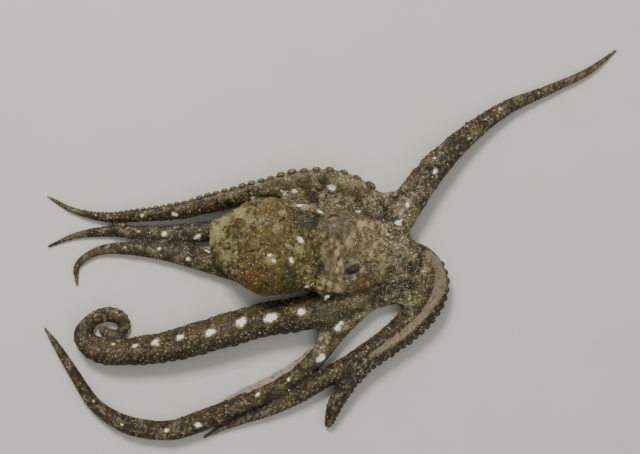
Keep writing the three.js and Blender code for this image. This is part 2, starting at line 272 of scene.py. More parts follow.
# Webs between neighbouring arms, lying where they do in the solids: the two arms, how far along
# each the web runs, its height at the crown and at its free edge, and how far that edge is
# scooped out.
WEBS = [
    {"arms": ["arm_left_2", "arm_left_1"], "reach": [0.2, 0.2], "heights": [22, 14], "scoop": 0.3},
    {"arms": ["arm_left_3", "arm_left_2"], "reach": [0.28, 0.36], "heights": [25, 15], "scoop": 0.1},
    {"arms": ["arm_right_3", "arm_right_4"], "reach": [0.25, 0.23], "heights": [19, 10], "scoop": 0.2},
    {"arms": ["arm_right_2", "arm_right_3"], "reach": [0.2, 0.14], "heights": [19, 12], "scoop": 0.3},
]
WEB_THICKNESS = 9
WEB_SAG = 0.3  # how far a web's middle sinks, as a share of its height
WEB_CUTS = 23
# The loose fin: its arm, its reach along it as shares, how far it stands out, its height at the
# arm and how far its edge drops, its thickness, how much it ruffles up and out, where in the
# arm it is rooted, as a share of the half width, and how full it is towards its ends.
FIN = {
    "arm": "arm_right_3", "from": 0.22, "to": 0.46, "stands": 3, "height": 5.6, "drop": 3.4,
    "thickness": 1.2, "ruffle_up": 0.5, "ruffle_out": 0.35, "ruffle_length": 2.1, "root": 0.55,
    "fullness": 0.7,
}

# Folds of skin that stand on the trunk: [x, y, z, radius] along each.
FOLDS = [
    [[-66, 30, 30.5, 1.4], [-60, 28.5, 32.5, 2.2], [-53, 27, 33, 2.4], [-44, 23, 34, 1.6]],
    [[-53, -22, 26.5, 1.2], [-47, -25.5, 25, 1.7], [-40, -27.5, 25, 1.7], [-32, -27, 26.5, 1.3]],
]

# Low lumps on the trunk: the box they are scattered in [x, x, y, y], their spacing and half
# sizes along X and Y, and their height; then how far they stray, and their sizes and heights
# as shares.
LUMPS = [
    {"box": [-58, -4, -27, 19], "step": [4.4, 6.0], "size": [2.1, 3.0], "height": 1.1},
    {"box": [-123, -60, -34, 38], "step": [5.2, 5.6], "size": [2.5, 2.4], "height": 0.8},
    {"box": [-6, 26, -30, 30], "step": [5.4, 4.8], "size": [2.2, 1.9], "height": 0.9},
]
LUMP_STRAY = 1.5
LUMP_SIZES = (0.6, 1.35)
LUMP_HEIGHTS = (0.15, 1.0)

# A white spot is a middle blob and smaller ones that stray along and across it, all as shares
# of the spot; and the width of the arms' spots over their length.
SPOT = {
    "middle": 0.6, "blobs": 6, "along": 0.75, "across": 0.7, "sizes": (0.28, 0.55), "broader": 1.25,
    "narrowness": 0.7,
}
# White spots of the trunk: [x, y, half length, half width, direction in degrees].
TRUNK_SPOTS = [
    [-61, 5, 3.0, 1.6, -42], [-66, -9.5, 2.0, 2.0, 0], [-45, 17.5, 2.8, 0.7, -45],
    [-81, -6, 1.5, 1.1, 30], [-78, -10, 1.7, 1.2, -20], [-71.5, 24, 2.4, 0.8, 80],
    [-21, 27.6, 2.9, 1.7, 10], [6, 20, 2.2, 2.0, 50], [9, 22, 1.2, 1.0, 0], [-1.5, 11, 1.0, 0.8, 0],
    [-5, 17, 2.4, 0.7, 80], [-61, 29.5, 4.0, 1.0, -14], [-47, 25, 3.0, 1.1, -28],
    [-56, -25, 2.0, 1.0, 30],
]

# Coloured areas of the trunk: [x, y, radius, strength].
OCHRE_AREAS = [
    [-93.5, -21.5, 9, 0.9], [-19.5, -23.5, 5.5, 0.9], [-82, 29, 10, 0.5], [-53, 27, 2.8, 1.0],
]
PALE_AREAS = [
    [-119, 11, 9, 1.0], [-113, 19, 7, 0.8], [-102, 25, 6, 0.9], [-110, -6, 7, 0.8],
    [-75.5, 11.5, 5.5, 0.7], [-80, -9, 4.5, 0.9], [-72, 23, 4, 0.7], [-100, 4, 5, 0.5],
]
# The area round the right eye, at [-28, -13], is painted shade of the eye's pit.
SLATE_AREAS = [
    [-58.5, 20, 10, 1.0], [-50, 12, 6, 0.6], [-67, -19, 9, 0.6], [-48, -12, 6, 0.9],
    [-62, -30, 10, 0.8], [-30, -30, 7, 0.6], [-28, -13, 5.5, 0.9], [5, -8, 6, 0.9],
    [20, -10, 6, 0.7],
]
PLAIN_AREAS = [[-36.5, 17.5, 7.5, 1.3]]  # without lumps and flecks
PINK_AREAS = [
    [-64, 30, 4, 0.9], [-57, 28, 5, 1.0], [-47, 25, 4, 0.9], [-56, -24, 3, 0.8],
    [16, -17, 4, 0.8], [3, 0, 4, 0.6], [8, -17, 5, 0.6], [-3, 12, 4, 0.6], [-8, 30, 4, 0.7],
]
# Areas where a pale veil of painted light brightens the skin, on arms as well.
PAINTED_LIGHT_AREAS = [
    [-21, -37, 11, 1.8], [-37, -50, 11, 1.5], [-28, 46, 16, 1.1], [-66, 48, 20, 1.1],
    [27, -8, 14, 0.4], [-155, 10, 30, 0.35], [-80, -97, 18, 0.3], [-112, -48, 16, 0.3],
    [0, 0, 24, 0.3], [-195, -50, 18, 0.5],
]
OTHER_TONES = [0.0, 0.0, 0.4, 0.0]  # gold, grey, flecks and pale shreds, as for the arms
WEB_TONES = [0.15, 0.1, 0.8, 0.9]
CROWN_TONES = [0.15, 0.1, 0.7, 1.0]
AREAS = {
    "ochre": OCHRE_AREAS, "pale": PALE_AREAS, "slate": SLATE_AREAS, "plain": PLAIN_AREAS,
    "pink": PINK_AREAS,
}

# The smooth band along an arm: its level round the arm in degrees and its half width.
BAND = {
    "arm": "arm_right_1",
    "along": [6, 16, 24, 38, 47, 58, 76, 95, 108, 118],
    "level": [40, 15, 0, 22, 44, 62, 56, 50, 48, 48],
    "half_width": [-3.0, 3.4, 4.8, 5.2, 5.2, 5.2, 4.6, 3.8, 1.5, -5.0],
}
# The row of blackish knobs along the same arm: its level round the arm, from where to where it
# runs, and the knobs' spacing, half size and height, how far they stray as a share of their
# spacing, the range of their sizes, and the arm's half width from which they are full height.
KNOBS = {
    "arm": "arm_right_1", "level": [-28, -22, -16], "reach": [40, 120], "step": 4.1, "size": 1.5,
    "height": 0.9, "stray": 0.12, "sizes": (0.75, 1.15), "full_at": 8,
}
# How dark and grey-green the sucker side of each arm is.
SKIRTS = {
    "arm_right_4": 1.0, "arm_right_1": 0.9, "arm_right_2": 0.6, "arm_right_3": 0.5,
    "arm_left_1": 0.35, "arm_left_2": 0.15, "arm_left_3": 0.5, "arm_left_4": 0.5,
}
SKIRT_FADES = (0.68, 0.4)  # from where to where it fades in, as the sine of the turn
# The pale edging of an arm: its level round the arm in degrees, from where to where it runs, how
# slowly it fades at its ends, and how far off it counts beyond them.
EDGING = {"arm": "arm_right_2", "level": 138, "reach": [26, 165], "fade": 8, "beyond": 4}
FAR_OFF = {"spot": 4.0, "band": 6.0, "edging": 6.0}  # the fields' values away from any marking


def colour(red, green, blue):
    """A colour given in screen values from 0 to 255, as the shaders take it."""
    def linear(value):
        value /= 255
        return value / 12.92 if value <= 0.04045 else ((value + 0.055) / 1.055) ** 2.4
    return linear(red), linear(green), linear(blue), 1.0


# ---- Settings ---------------------------------------------------------------------------


def length(name, description, default):
    return bpy.props.FloatProperty(
        name=name, description=description, default=default, min=0.0, precision=5,
        subtype="DISTANCE", unit="LENGTH",
    )


def share(name, description, default):
    return bpy.props.FloatProperty(
        name=name, description=description, default=default, min=0.0, max=2.0, subtype="FACTOR",
    )


def tint(name, description, *screen):
    return bpy.props.FloatVectorProperty(
        name=name, description=description, default=colour(*screen), size=4, subtype="COLOR",
        min=0.0, max=1.0,
    )


class OctopusForm(bpy.types.PropertyGroup):
    skin_step: length("Skin step", "Distance between neighbouring points of the skin", 0.00115)
    lump_height: length("Lump height", "Height of the broad unevenness of the flesh", 0.0014)
    wart_height: length("Wart height", "Height of the low warts in the skin itself", 0.0011)
    bead_radius: length("Bead radius", "Radius of the beads that stand on the skin", 0.00048)
    bead_share: share("Bead share", "Share of the skin's points that carry a bead", 0.36)
    papilla_radius: length("Papilla radius", "Radius of a papilla at its foot", 0.00026)
    eye_gloss: share("Eye gloss", "How wet the eyes look", 0.2)


class OctopusColours(bpy.types.PropertyGroup):
    arm_dark: tint("Arm, dark", "Darkest brown of the arms", 36, 27, 14)
    arm_brown: tint("Arm, brown", "Main brown of the arms", 66, 50, 26)
    arm_gold: tint("Arm, gold", "Golden olive between the spots", 82, 66, 25)
    arm_grey: tint("Arm, grey", "Purple-grey stretches of the arms", 36, 30, 27)
    skirt: tint("Skirt", "Sucker side of the arms", 42, 40, 29)
    fleck: tint("Fleck", "Fine cream flecks", 170, 153, 112)
    fleck_gold: tint("Fleck, gold", "Fine golden flecks", 132, 100, 52)
    mantle_olive: tint("Mantle, olive", "Main colour of the mantle", 98, 82, 32)
    mantle_dark: tint("Mantle, dark", "Brown mottling of the mantle", 48, 37, 11)
    mantle_pale: tint("Mantle, pale", "Pale mottling of the mantle", 160, 148, 100)
    ochre: tint("Ochre", "Ochre areas", 104, 72, 16)
    crown_pale: tint("Crown, pale", "Pale grey shreds on the crown", 164, 152, 120)
    head_tan: tint("Head, tan", "Raised parts of the head", 170, 148, 110)
    head_dark: tint("Head, dark", "Hollows of the head", 84, 68, 40)
    slate: tint("Slate", "Grey areas of head and crown", 58, 55, 44)
    eye_mound: tint("Eye mound", "The smooth mound of the left eye", 122, 102, 80)
    ridge: tint("Ridge", "The pale ridge between mantle and head", 184, 156, 130)
    spot: tint("Spot", "White spots", 244, 238, 226)
    band: tint("Band", "Smooth band of the first right arm", 132, 116, 90)
    fin: tint("Fin", "Loose skin of the third right arm", 164, 144, 128)
    sucker: tint("Sucker", "Walls of the suckers", 48, 40, 28)
    sucker_rim: tint("Sucker rim", "Rims of the suckers", 126, 106, 70)
    iris: tint("Iris", "Eye round its pupil", 62, 50, 34)
    pupil: tint("Pupil", "Slit of the eye", 12, 10, 9)


class OctopusStage(bpy.types.PropertyGroup):
    floor_size: length("Floor size", "Side of the plain floor", 8.0)
    floor: tint("Floor", "Colour of the floor", 206, 200, 186)
    key_power: bpy.props.FloatProperty(
        name="Key light", description="Power of the main soft light", default=17.0, min=0.0,
        unit="POWER",
    )
    lens: bpy.props.FloatProperty(
        name="Lens", description="Focal length of the camera", default=70.0, min=1.0,
        subtype="DISTANCE_CAMERA", unit="CAMERA",
    )


# ---- Curves and bodies --------------------------------------------------------------------


def placed(points):
    """Millimetres from the middle of the crown, as metres in the solids' frame."""
    return np.asarray(points, float) * MM + CROWN_MIDDLE


def through(knots, times):
    """Places on the centripetal Catmull-Rom curve through the knots, at times from 0 to 1."""
    knots = np.asarray(knots, float)
    knots = np.vstack([2 * knots[0] - knots[1], knots, 2 * knots[-1] - knots[-2]])
    place = np.clip(times, 0, 1) * (len(knots) - 3)
    first = np.minimum(place.astype(int), len(knots) - 4)
    t = (place - first)[:, None]
    a, b, c, d = (knots[first + i] for i in range(4))
    spans = ((a, b), (b, c), (c, d))
    ab, bc, cd = (np.sqrt(np.linalg.norm(end - start, axis=1))[:, None] for start, end in spans)
    leave = ((b - a) / ab - (c - a) / (ab + bc) + (c - b) / bc) * bc
    arrive = ((c - b) / bc - (d - b) / (bc + cd) + (d - c) / cd) * bc
    bend = 3 * (c - b) - 2 * leave - arrive
    return b + leave * t + bend * t**2 + (2 * (b - c) + leave + arrive) * t**3


def smooth_step(low_end, high_end, values):
    """0 up to the low end and 1 from the high end on, smooth between; it falls if they swap."""
    t = np.clip((values - low_end) / (high_end - low_end), 0, 1)
    return t * t * (3 - 2 * t)


class Arm:
    """An arm's middle line with its width, and the surface round it."""

    def __init__(self, name):
        self.name = name
        self.roll = math.radians(ARMS[name]["roll"])
        self.line = through(ARMS[name]["route"], np.linspace(0, 1, LINE_STEPS))
        steps = np.hypot(*np.diff(self.line[:, :2], axis=0).T)
        self.way = np.concatenate([[0], np.cumsum(steps)])
        self.length = self.way[-1]
        heading = np.gradient(self.line[:, :2], axis=0)
        self.heading = heading / np.hypot(*heading.T)[:, None]

    def at(self, along):
        """Middle x and y, half width, and heading x and y at distances along the arm."""
        columns = [*self.line[:, :2].T, self.line[:, 2] / 2, *self.heading.T]
        x, y, half, hx, hy = (np.interp(along, self.way, column) for column in columns)
        size = np.hypot(hx, hy)
        return x, y, np.maximum(half, THINNEST_HALF), hx / size, hy / size

    def surface(self, along, turn, proud=0.0, rounded=True):
        """Points of the skin; turn goes round from the arm's left (0) over its back (pi / 2)."""
        x, y, half, hx, hy = self.at(along)
        end = np.clip(np.minimum(along, self.length - along) / half, 0, 1)
        cap = np.sqrt(1 - (1 - end) ** 2) if rounded else 1.0
        swell = WAVE_SHARE * np.sin(along / WAVE_LENGTH + 3 * self.roll)
        wave = 1 + swell * np.sin(turn * 2 + along / WAVE_DRIFT)
        across = -np.cos(turn) * (half * wave + proud) * cap
        flat = np.where(np.sin(turn) < 0, ORAL_FLATNESS, 1.0)
        up = np.sin(turn) * (half * ARM_HEIGHT * flat * wave + proud) * cap
        depth = half * ARM_HEIGHT * ORAL_FLATNESS * math.cos(self.roll)
        middle = ARM_SINKS * np.hypot(half * math.sin(self.roll), depth)
        side = across * math.cos(self.roll) - up * math.sin(self.roll)
        height = middle + up * math.cos(self.roll) + across * math.sin(self.roll)
        return np.stack([x + hy * side, y - hx * side, height], 1)


arms = {name: Arm(name) for name in ARMS}


def read(items, name, width, kind=float):
    """A property of all of a mesh's items, as rows of this width."""
    found = np.empty(len(items) * width, kind)
    items.foreach_get(name, found)
    return found.reshape(-1, width)


def points(piece):
    return read(piece.data.vertices, "co", 3)


def normals_of(piece):
    return read(piece.data.vertices, "normal", 3)


def edges_of(piece):
    return read(piece.data.edges, "vertices", 2, int)


def faces_of(piece):
    return [tuple(face.vertices) for face in piece.data.polygons]


def move_points(piece, places):
    piece.data.vertices.foreach_set("co", np.asarray(places, float).ravel())
    piece.data.update()


def only(*pieces):
    bpy.ops.object.select_all(action="DESELECT")
    for piece in pieces:
        piece.select_set(True)
    bpy.context.view_layer.objects.active = pieces[0]


def add(primitive, **settings):
    """Adds a primitive, a light or a camera with nothing else selected, and returns it."""
    bpy.ops.object.select_all(action="DESELECT")
    primitive(**settings)
    return bpy.context.object


def edit(piece, operator, **settings):
    """Calls an operator in edit mode on all of the piece's mesh."""
    only(piece)
    bpy.ops.object.mode_set(mode="EDIT")
    bpy.ops.mesh.select_all(action="SELECT")
    operator(**settings)
    bpy.ops.object.mode_set(mode="OBJECT")


def ball(segments, rings):
    """Adds a ball to be shaped. Returns it with each point's level from pole to pole and turn."""
    piece = add(bpy.ops.mesh.primitive_uv_sphere_add, segments=segments, ring_count=rings, radius=1)
    at = points(piece)
    level = np.arccos(np.clip(-at[:, 2], -1, 1)) / np.pi
    return piece, level, np.arctan2(at[:, 1], at[:, 0])


def apply_all(piece):
    only(piece)
    for modifier in list(piece.modifiers):
        bpy.ops.object.modifier_apply(modifier=modifier.name)


def join(pieces, name):
    only(*pieces)
    bpy.ops.object.join()
    pieces[0].name = pieces[0].data.name = name
    return pieces[0]


def hand_over(piece, finish, nodes=()):
    """Finishes the piece inside the solids' box, gives it its body, and hides the solids that it stands
    for.
    """
    only(piece)
    bpy.ops.object.shade_smooth()
    piece.data.materials.append(finish)
    low_corner, high_corner = (np.array(corner) for corner in CAD_BOX)
    move_points(piece, np.clip(points(piece), low_corner + BOX_MARGIN, high_corner - BOX_MARGIN))
    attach(piece, "root")
    if nodes:
        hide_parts(*nodes)


# ---- Flesh ------------------------------------------------------------------------------


class Flesh:
    """The bodies that are merged into the skin, and where each of their points came from."""

    def __init__(self):
        self.bodies = []
        self.places, self.parts, self.along, self.turns = [], [], [], []

    def add(self, piece, part, places, along, turns):
        places = np.array(places, float)
        places[:, 2] = np.maximum(places[:, 2], SKIN_CLEARANCE)
        move_points(piece, placed(places))
        self.bodies.append(piece)
        self.places.append(placed(places))
        self.parts.append(np.full(len(places), PARTS.index(part)))
        self.along.append(np.broadcast_to(along, len(places)).astype(float))
        self.turns.append(np.broadcast_to(turns, len(places)).astype(float))


PARTS = [*ARMS, "mantle", "head", "crown", "web", "eye_left", "eye_right", "funnel", "fold"]
TRUNK_PARTS = ("mantle", "head", "crown", "eye_left", "eye_right", "fold")
HEAD_PARTS = ("head", "eye_left", "eye_right", "fold", "funnel")


def add_arm(flesh, arm):
    piece, level, turn = ball(ARM_SIDES, round(arm.length / ARM_RING_STEP))
    along = level * arm.length
    flesh.add(piece, arm.name, arm.surface(along, turn), along, turn)


def add_trunk(flesh, part, stations):
    """A rounded sack lofted along X through a table of stations."""
    piece, level, turn = ball(TRUNK_SIDES, TRUNK_SIDES)
    x, middle, half = through([row[:3] for row in stations], level).T
    _, top, under = through([[row[0], *row[3:]] for row in stations], level).T
    end = np.clip(np.minimum(level, 1 - level) * TRUNK_CLOSES, 0, 1)
    cap = np.sqrt(1 - (1 - end) ** 2)
    waist = under + TRUNK_WAIST * (top - under)
    round_way = (np.cos(turn), np.sin(turn))
    side, rise = (np.sign(value) * np.abs(value) ** TRUNK_SQUARENESS for value in round_way)
    height = waist + rise * np.where(rise > 0, top - waist, waist - under) * cap
    flesh.add(piece, part, np.stack([x, middle + side * half * cap, height], 1), level, turn)


def add_crown(flesh):
    """The low dome that the arms leave, drawn in between the two front arms."""
    piece, level, turn = ball(*CROWN_GRID)
    slope = np.clip(level * 2 - 1, 0, 1) * math.radians(90)
    away = (np.degrees(turn) - CROWN_NOTCH["toward"]) / CROWN_NOTCH["spread"]
    reach = CROWN_RADIUS - CROWN_NOTCH["depth"] * np.exp(-(away**2))
    reach *= np.cos(slope) ** CROWN_FULLNESS
    reach *= np.clip(level * CROWN_UNDERSIDE, 0, 1)
    height = SKIN_CLEARANCE + (CROWN_HEIGHT - SKIN_CLEARANCE) * np.sin(slope)
    places = np.stack([np.cos(turn) * reach, np.sin(turn) * reach, height], 1)
    flesh.add(piece, "crown", places, level, turn)


def facing(looks):
    """Sideways, upwards and outwards directions of an eye that looks that way."""
    out = np.array(looks, float) / np.linalg.norm(looks)
    side = np.cross([0, 0, 1], out)
    side /= np.linalg.norm(side)
    return side, np.cross(out, side), out


def add_eye_mound(flesh, name):
    """The mound round an eye, and the lids as a ring that hugs the eyeball."""
    eye = EYES[name]
    side, up, out = facing(eye["looks"])
    middle = np.array(eye["at"], float)
    mound, level, turn = ball(*MOUND_GRID)
    places = middle - out * EYE_STANDS_OUT + points(mound) * EYE_MOUND_RADIUS
    flesh.add(mound, name, places, level, turn)
    lids = add(
        bpy.ops.mesh.primitive_torus_add, major_radius=1, minor_radius=eye["lid"] / LID_SCALE,
        **LIDS_GRID,
    )
    at = points(lids)
    reach = np.hypot(at[:, 0], at[:, 1])
    ring = at[:, :2] / reach[:, None] * (np.array(eye["opening"]) / 2 + eye["lid"])
    flat = ring + at[:, :2] / reach[:, None] * ((reach - 1) * LID_SCALE)[:, None]
    lift = np.sqrt(np.maximum((EYE_RADIUS + LID_GAP) ** 2 - (ring**2).sum(1), 1))
    lift += at[:, 2] * LID_SCALE
    places = middle + np.outer(flat[:, 0], side) + np.outer(flat[:, 1], up) + np.outer(lift, out)
    flesh.add(lids, name, places, 1.0, np.arctan2(at[:, 1], at[:, 0]))


def add_tube(flesh, part, route):
    """A closed round tube along [x, y, z, radius] places, with rounded ends."""
    route = np.array(route, float)
    steps = np.linalg.norm(np.diff(route[:, :3], axis=0), axis=1)
    piece, level, turn = ball(FOLD_SIDES, max(10, round(steps.sum())))
    line = through(route, level)
    step = 0.02
    ahead, behind = (through(route, np.clip(level + way, 0, 1)) for way in (step, -step))
    heading = ahead - behind
    heading = heading[:, :3] / np.linalg.norm(heading[:, :3], axis=1)[:, None]
    side = np.cross(heading, [0, 0, 1])
    side /= np.linalg.norm(side, axis=1)[:, None]
    up = np.cross(side, heading)
    end = np.clip(np.minimum(level, 1 - level) * steps.sum() / line[:, 3], 0, 1)
    radius = line[:, 3] * np.sqrt(1 - (1 - end) ** 2)
    ring = -side * (np.cos(turn) * radius)[:, None] + up * (np.sin(turn) * radius)[:, None]
    flesh.add(piece, part, line[:, :3] + ring, level, turn)


def add_funnel(flesh):
    """The tapered funnel: a cylinder whose front face is inset and pushed in for the bore."""
    root, mouth = (np.array(FUNNEL[end], float) for end in ("root", "mouth"))
    piece = add(bpy.ops.mesh.primitive_cylinder_add, vertices=FUNNEL_SIDES, radius=1, depth=1)
    for face in piece.data.polygons:
        face.select = face.normal.z > 0.9
    bpy.ops.object.mode_set(mode="EDIT")
    bpy.ops.mesh.inset(thickness=1 - FUNNEL["bore"] / FUNNEL["radii"][1])
    bpy.ops.mesh.extrude_region_move(TRANSFORM_OT_translate={"value": (0, 0, -FUNNEL["depth"])})
    bpy.ops.object.mode_set(mode="OBJECT")
    at = points(piece)
    level = at[:, 2] + 0.5
    side, up, out = facing(mouth - root)
    radius = FUNNEL["radii"][0] + (FUNNEL["radii"][1] - FUNNEL["radii"][0]) * level
    places = root + np.outer(level, mouth - root)
    places += np.outer(at[:, 0] * radius, side) + np.outer(at[:, 1] * radius, up)
    flesh.add(piece, "funnel", places, level, np.arctan2(at[:, 1], at[:, 0]))


def add_web(flesh, web):
    """A sheet of skin spanning from one arm's middle line to the next."""
    piece = add(bpy.ops.mesh.primitive_cube_add, size=1)
    edit(piece, bpy.ops.mesh.subdivide, number_cuts=WEB_CUTS)
    at = points(piece)
    inner = 1 - (2 * at[:, 0]) ** 2
    outward = (at[:, 1] + 0.5) * (1 - web["scoop"] * inner)
    pair = [arms[name] for name in web["arms"]]
    first, last = (arm.at(outward * reach * arm.length) for arm, reach in zip(pair, web["reach"]))
    start, stop = web["heights"]
    top = (start + (stop - start) * outward) * (1 - WEB_SAG * inner)
    under = np.maximum(top - WEB_THICKNESS, SKIN_CLEARANCE)
    across = at[:, 0] + 0.5
    x, y = (first[i] + (last[i] - first[i]) * across for i in range(2))
    height = under + (top - under) * (at[:, 2] + 0.5)
    flesh.add(piece, "web", np.stack([x, y, height], 1), outward, 0.0)


def add_all_flesh():
    flesh = Flesh()
    for arm in arms.values():
        add_arm(flesh, arm)
    add_trunk(flesh, "mantle", MANTLE)
    add_trunk(flesh, "head", HEAD)
    add_crown(flesh)
    for web in WEBS:
        add_web(flesh, web)
    for name in EYES:
        add_eye_mound(flesh, name)
    add_funnel(flesh)
    for fold in FOLDS:
        add_tube(flesh, "fold", fold)
    return flesh


# ---- The skin -----------------------------------------------------------------------------

EVENING = 0.6  # how far values go towards their neighbours' in each round
UNWRAP_MARGIN = 0.01  # at the ends of each strip of the skin's map
STRIP_MARGIN = 0.04  # at its sides, as a share of its width
STRIP_WIDTH = 0.92
# What is stored on each point of the skin, of the beads and of the papillae; and the values on
# the fin that aren't 0.
SKIN_FIELDS = (
    "mantle", "head", "crown", "back", "skirt", "knob", "spot", "band", "edging", "gold", "grey",
    "flecks", *AREAS, "painted_light", "rise", "hollow", "fin", "fleck", "unwrap_u", "unwrap_v",
)
FIN_FIELDS = {
    "spot": 4.0, "band": 4.0, "edging": 4.0, "back": 0.8, "fin": 1.0, "unwrap_u": 0.5,
    "unwrap_v": 0.995,
}
LUMP_SIZE = 0.009
WART_SIZE = 0.003
LUMPS_ABOVE = 9.0  # the trunk's lumps and coloured areas stay off its underside
AREAS_ABOVE = 8
LUMPS_SINK = 0.2  # the skin between the lumps lies this much deeper
BELOW_ROOF = 0.0004
TIP_HALVES = (1.5, 5)  # an arm's half widths between which its relief fades out
TIP_RELIEF = 0.3  # the share of it that is left there
BACK_FADES = (-0.4, 0.3)  # relief fades out towards the sucker side, as the sine of the turn
FOOT_FADES = (1.5, 6)  # and towards the floor
PLAIN_RELIEF = 0.1
TIP_EVENING = 0.1
EVEN_ROUNDS = 5
SOFTEN_ROUNDS = 1
# Where the skin is drawn smooth: round the crown, and across the trunk at these X.
WEBBING = {"fades": (24, 46), "below": 30, "blur": 8, "rounds": 20}
JOINTS = [{"x": -54, "fades": (5, 15), "above": 22}, {"x": 1, "fades": (3, 11), "above": 14}]
JOINT_HALF_WIDTH = 24
CROWN_FADES = (18, 36)


def largest_part(piece):
    """Splits loose shells off and deletes them, so that only the outer skin is left."""
    edit(piece, bpy.ops.mesh.separate, type="LOOSE")
    shells = sorted(bpy.context.selected_objects, key=lambda shell: -len(shell.data.vertices))
    for shell in shells[1:]:
        bpy.data.objects.remove(shell)
    return shells[0]


def spread(values, edges, rounds):
    """Values at points, each evened out with its neighbours."""
    a, b = edges.T
    count = np.bincount(np.concatenate([a, b]), minlength=len(values))
    for _ in range(rounds):
        total = np.bincount(a, values[b], len(values)) + np.bincount(b, values[a], len(values))
        values = (1 - EVENING) * values + EVENING * total / np.maximum(count, 1)
    return values


def nearest_flesh(flesh, places):
    """For each place: the part of the nearest point of the flesh, and where on it that lies."""
    known = np.vstack(flesh.places)
    tree = KDTree(len(known))
    for index, place in enumerate(known):
        tree.insert(place, index)
    tree.balance()
    index = np.array([tree.find(place)[1] for place in places])
    return tuple(np.concatenate(kept)[index] for kept in (flesh.parts, flesh.along, flesh.turns))


def weigh(piece, name, weights, steps=20):
    """A vertex group with these weights, rounded to so many steps."""
    group = piece.vertex_groups.new(name=name)
    rounded = np.round(np.clip(weights, 0, 1) * steps).astype(int)
    for step in range(1, steps + 1):
        group.add(np.flatnonzero(rounded == step).tolist(), step / steps, "REPLACE")


def displace(piece, name, kind, size, strength, group):
    texture = bpy.data.textures.new(name, kind)
    texture.noise_scale = size
    modifier = piece.modifiers.new(name, "DISPLACE")
    modifier.texture = texture
    modifier.texture_coords = "LOCAL"
    modifier.strength = strength
    modifier.vertex_group = group


def smooth(piece, name, rounds, group):
    modifier = piece.modifiers.new(name, "SMOOTH")
    modifier.iterations = rounds
    modifier.vertex_group = group


def keep(piece, name, values):
    """Stores values on the points of a mesh, for its material to read."""
    layer = piece.data.attributes.new(name, "FLOAT", "POINT")
    layer.data.foreach_set("value", np.asarray(values, np.float32))


def stored(piece, name):
    return read(piece.data.attributes[name].data, "value", 1, np.float32)[:, 0]


def tree_of(piece):
    return BVHTree.FromPolygons([tuple(place) for place in points(piece)], faces_of(piece))


def surface_under(tree, x, y):
    """The highest point of the skin at a place given in millimetres from the crown's middle."""
    above = placed([x, y, 2 * CAD_BOX[1].z / MM])
    found = tree.ray_cast(Vector(above), Vector((0, 0, -1)))[0]
    return np.array(found if found else above)


def ragged(rng, x, y, half, width, hx, hy):
    """A spot as a few overlapping blobs: [x, y, half length, half width, heading] of each."""
    blobs = [[x, y, half * SPOT["middle"], width * SPOT["middle"], hx, hy]]
    for _ in range(SPOT["blobs"]):
        along = rng.uniform(-SPOT["along"], SPOT["along"]) * half
        aside = rng.uniform(-SPOT["across"], SPOT["across"]) * width
        size = rng.uniform(*SPOT["sizes"])
        blobs.append([
            x + hx * along - hy * aside, y + hy * along + hx * aside, half * size,
            width * size * SPOT["broader"], hx, hy,
        ])
    return blobs


def spot_field(places, tree):
    """How far each place lies from the nearest white spot: 0 in its middle, 1 at its rim."""
    rng = np.random.default_rng(SEED + 3)
    field = np.full(len(places), FAR_OFF["spot"])
    wanted = []
    for name, arm in arms.items():
        for along, offset, half in ARMS[name]["spots"]:
            x, y, _, hx, hy = (float(v[0]) for v in arm.at(np.array([along])))
            place = (x + hy * offset, y - hx * offset)
            wanted += ragged(rng, *place, half, half * SPOT["narrowness"], hx, hy)
    for x, y, half, width, direction in TRUNK_SPOTS:
        angle = math.radians(direction)
        wanted += ragged(rng, x, y, half, width, math.cos(angle), math.sin(angle))
    for x, y, half, width, hx, hy in wanted:
        reach = places - surface_under(tree, x, y)
        along = reach @ [hx, hy, 0]
        rest = np.sqrt(np.maximum((reach**2).sum(1) - along**2, 0))
        field = np.minimum(field, np.hypot(along / half, rest / width) / MM)
    return field


def areas(at, table):
    """Strength of the coloured areas at each place, from above."""
    total = np.zeros(len(at))
    for x, y, radius, strength in table:
        away = np.hypot(at[:, 0] - x, at[:, 1] - y) / radius
        total = np.maximum(total, strength * np.exp(-(away**2)))
    return total


def lump_field(at):
    """Where lumps rise on the trunk, from 0 to 1, and how high they are in millimetres."""
    rng = np.random.default_rng(SEED + 4)
    rise, height = np.zeros(len(at)), np.zeros(len(at))
    for patch in LUMPS:
        x0, x1, y0, y1 = patch["box"]
        step_x, step_y = patch["step"]
        for row, y in enumerate(np.arange(y0, y1, step_y)):
            for x in np.arange(x0, x1, step_x) + step_x / 2 * (row % 2):
                x_at, y_at = x + rng.normal(0, LUMP_STRAY), y + rng.normal(0, LUMP_STRAY)
                size, tall = rng.uniform(*LUMP_SIZES), rng.uniform(*LUMP_HEIGHTS)
                away = ((at[:, 0] - x_at) / patch["size"][0]) ** 2
                away += ((at[:, 1] - y_at) / patch["size"][1]) ** 2
                bump = tall * np.exp(-away / size**2)
                rise = np.maximum(rise, bump)
                height = np.maximum(height, bump * patch["height"])
    return rise, height


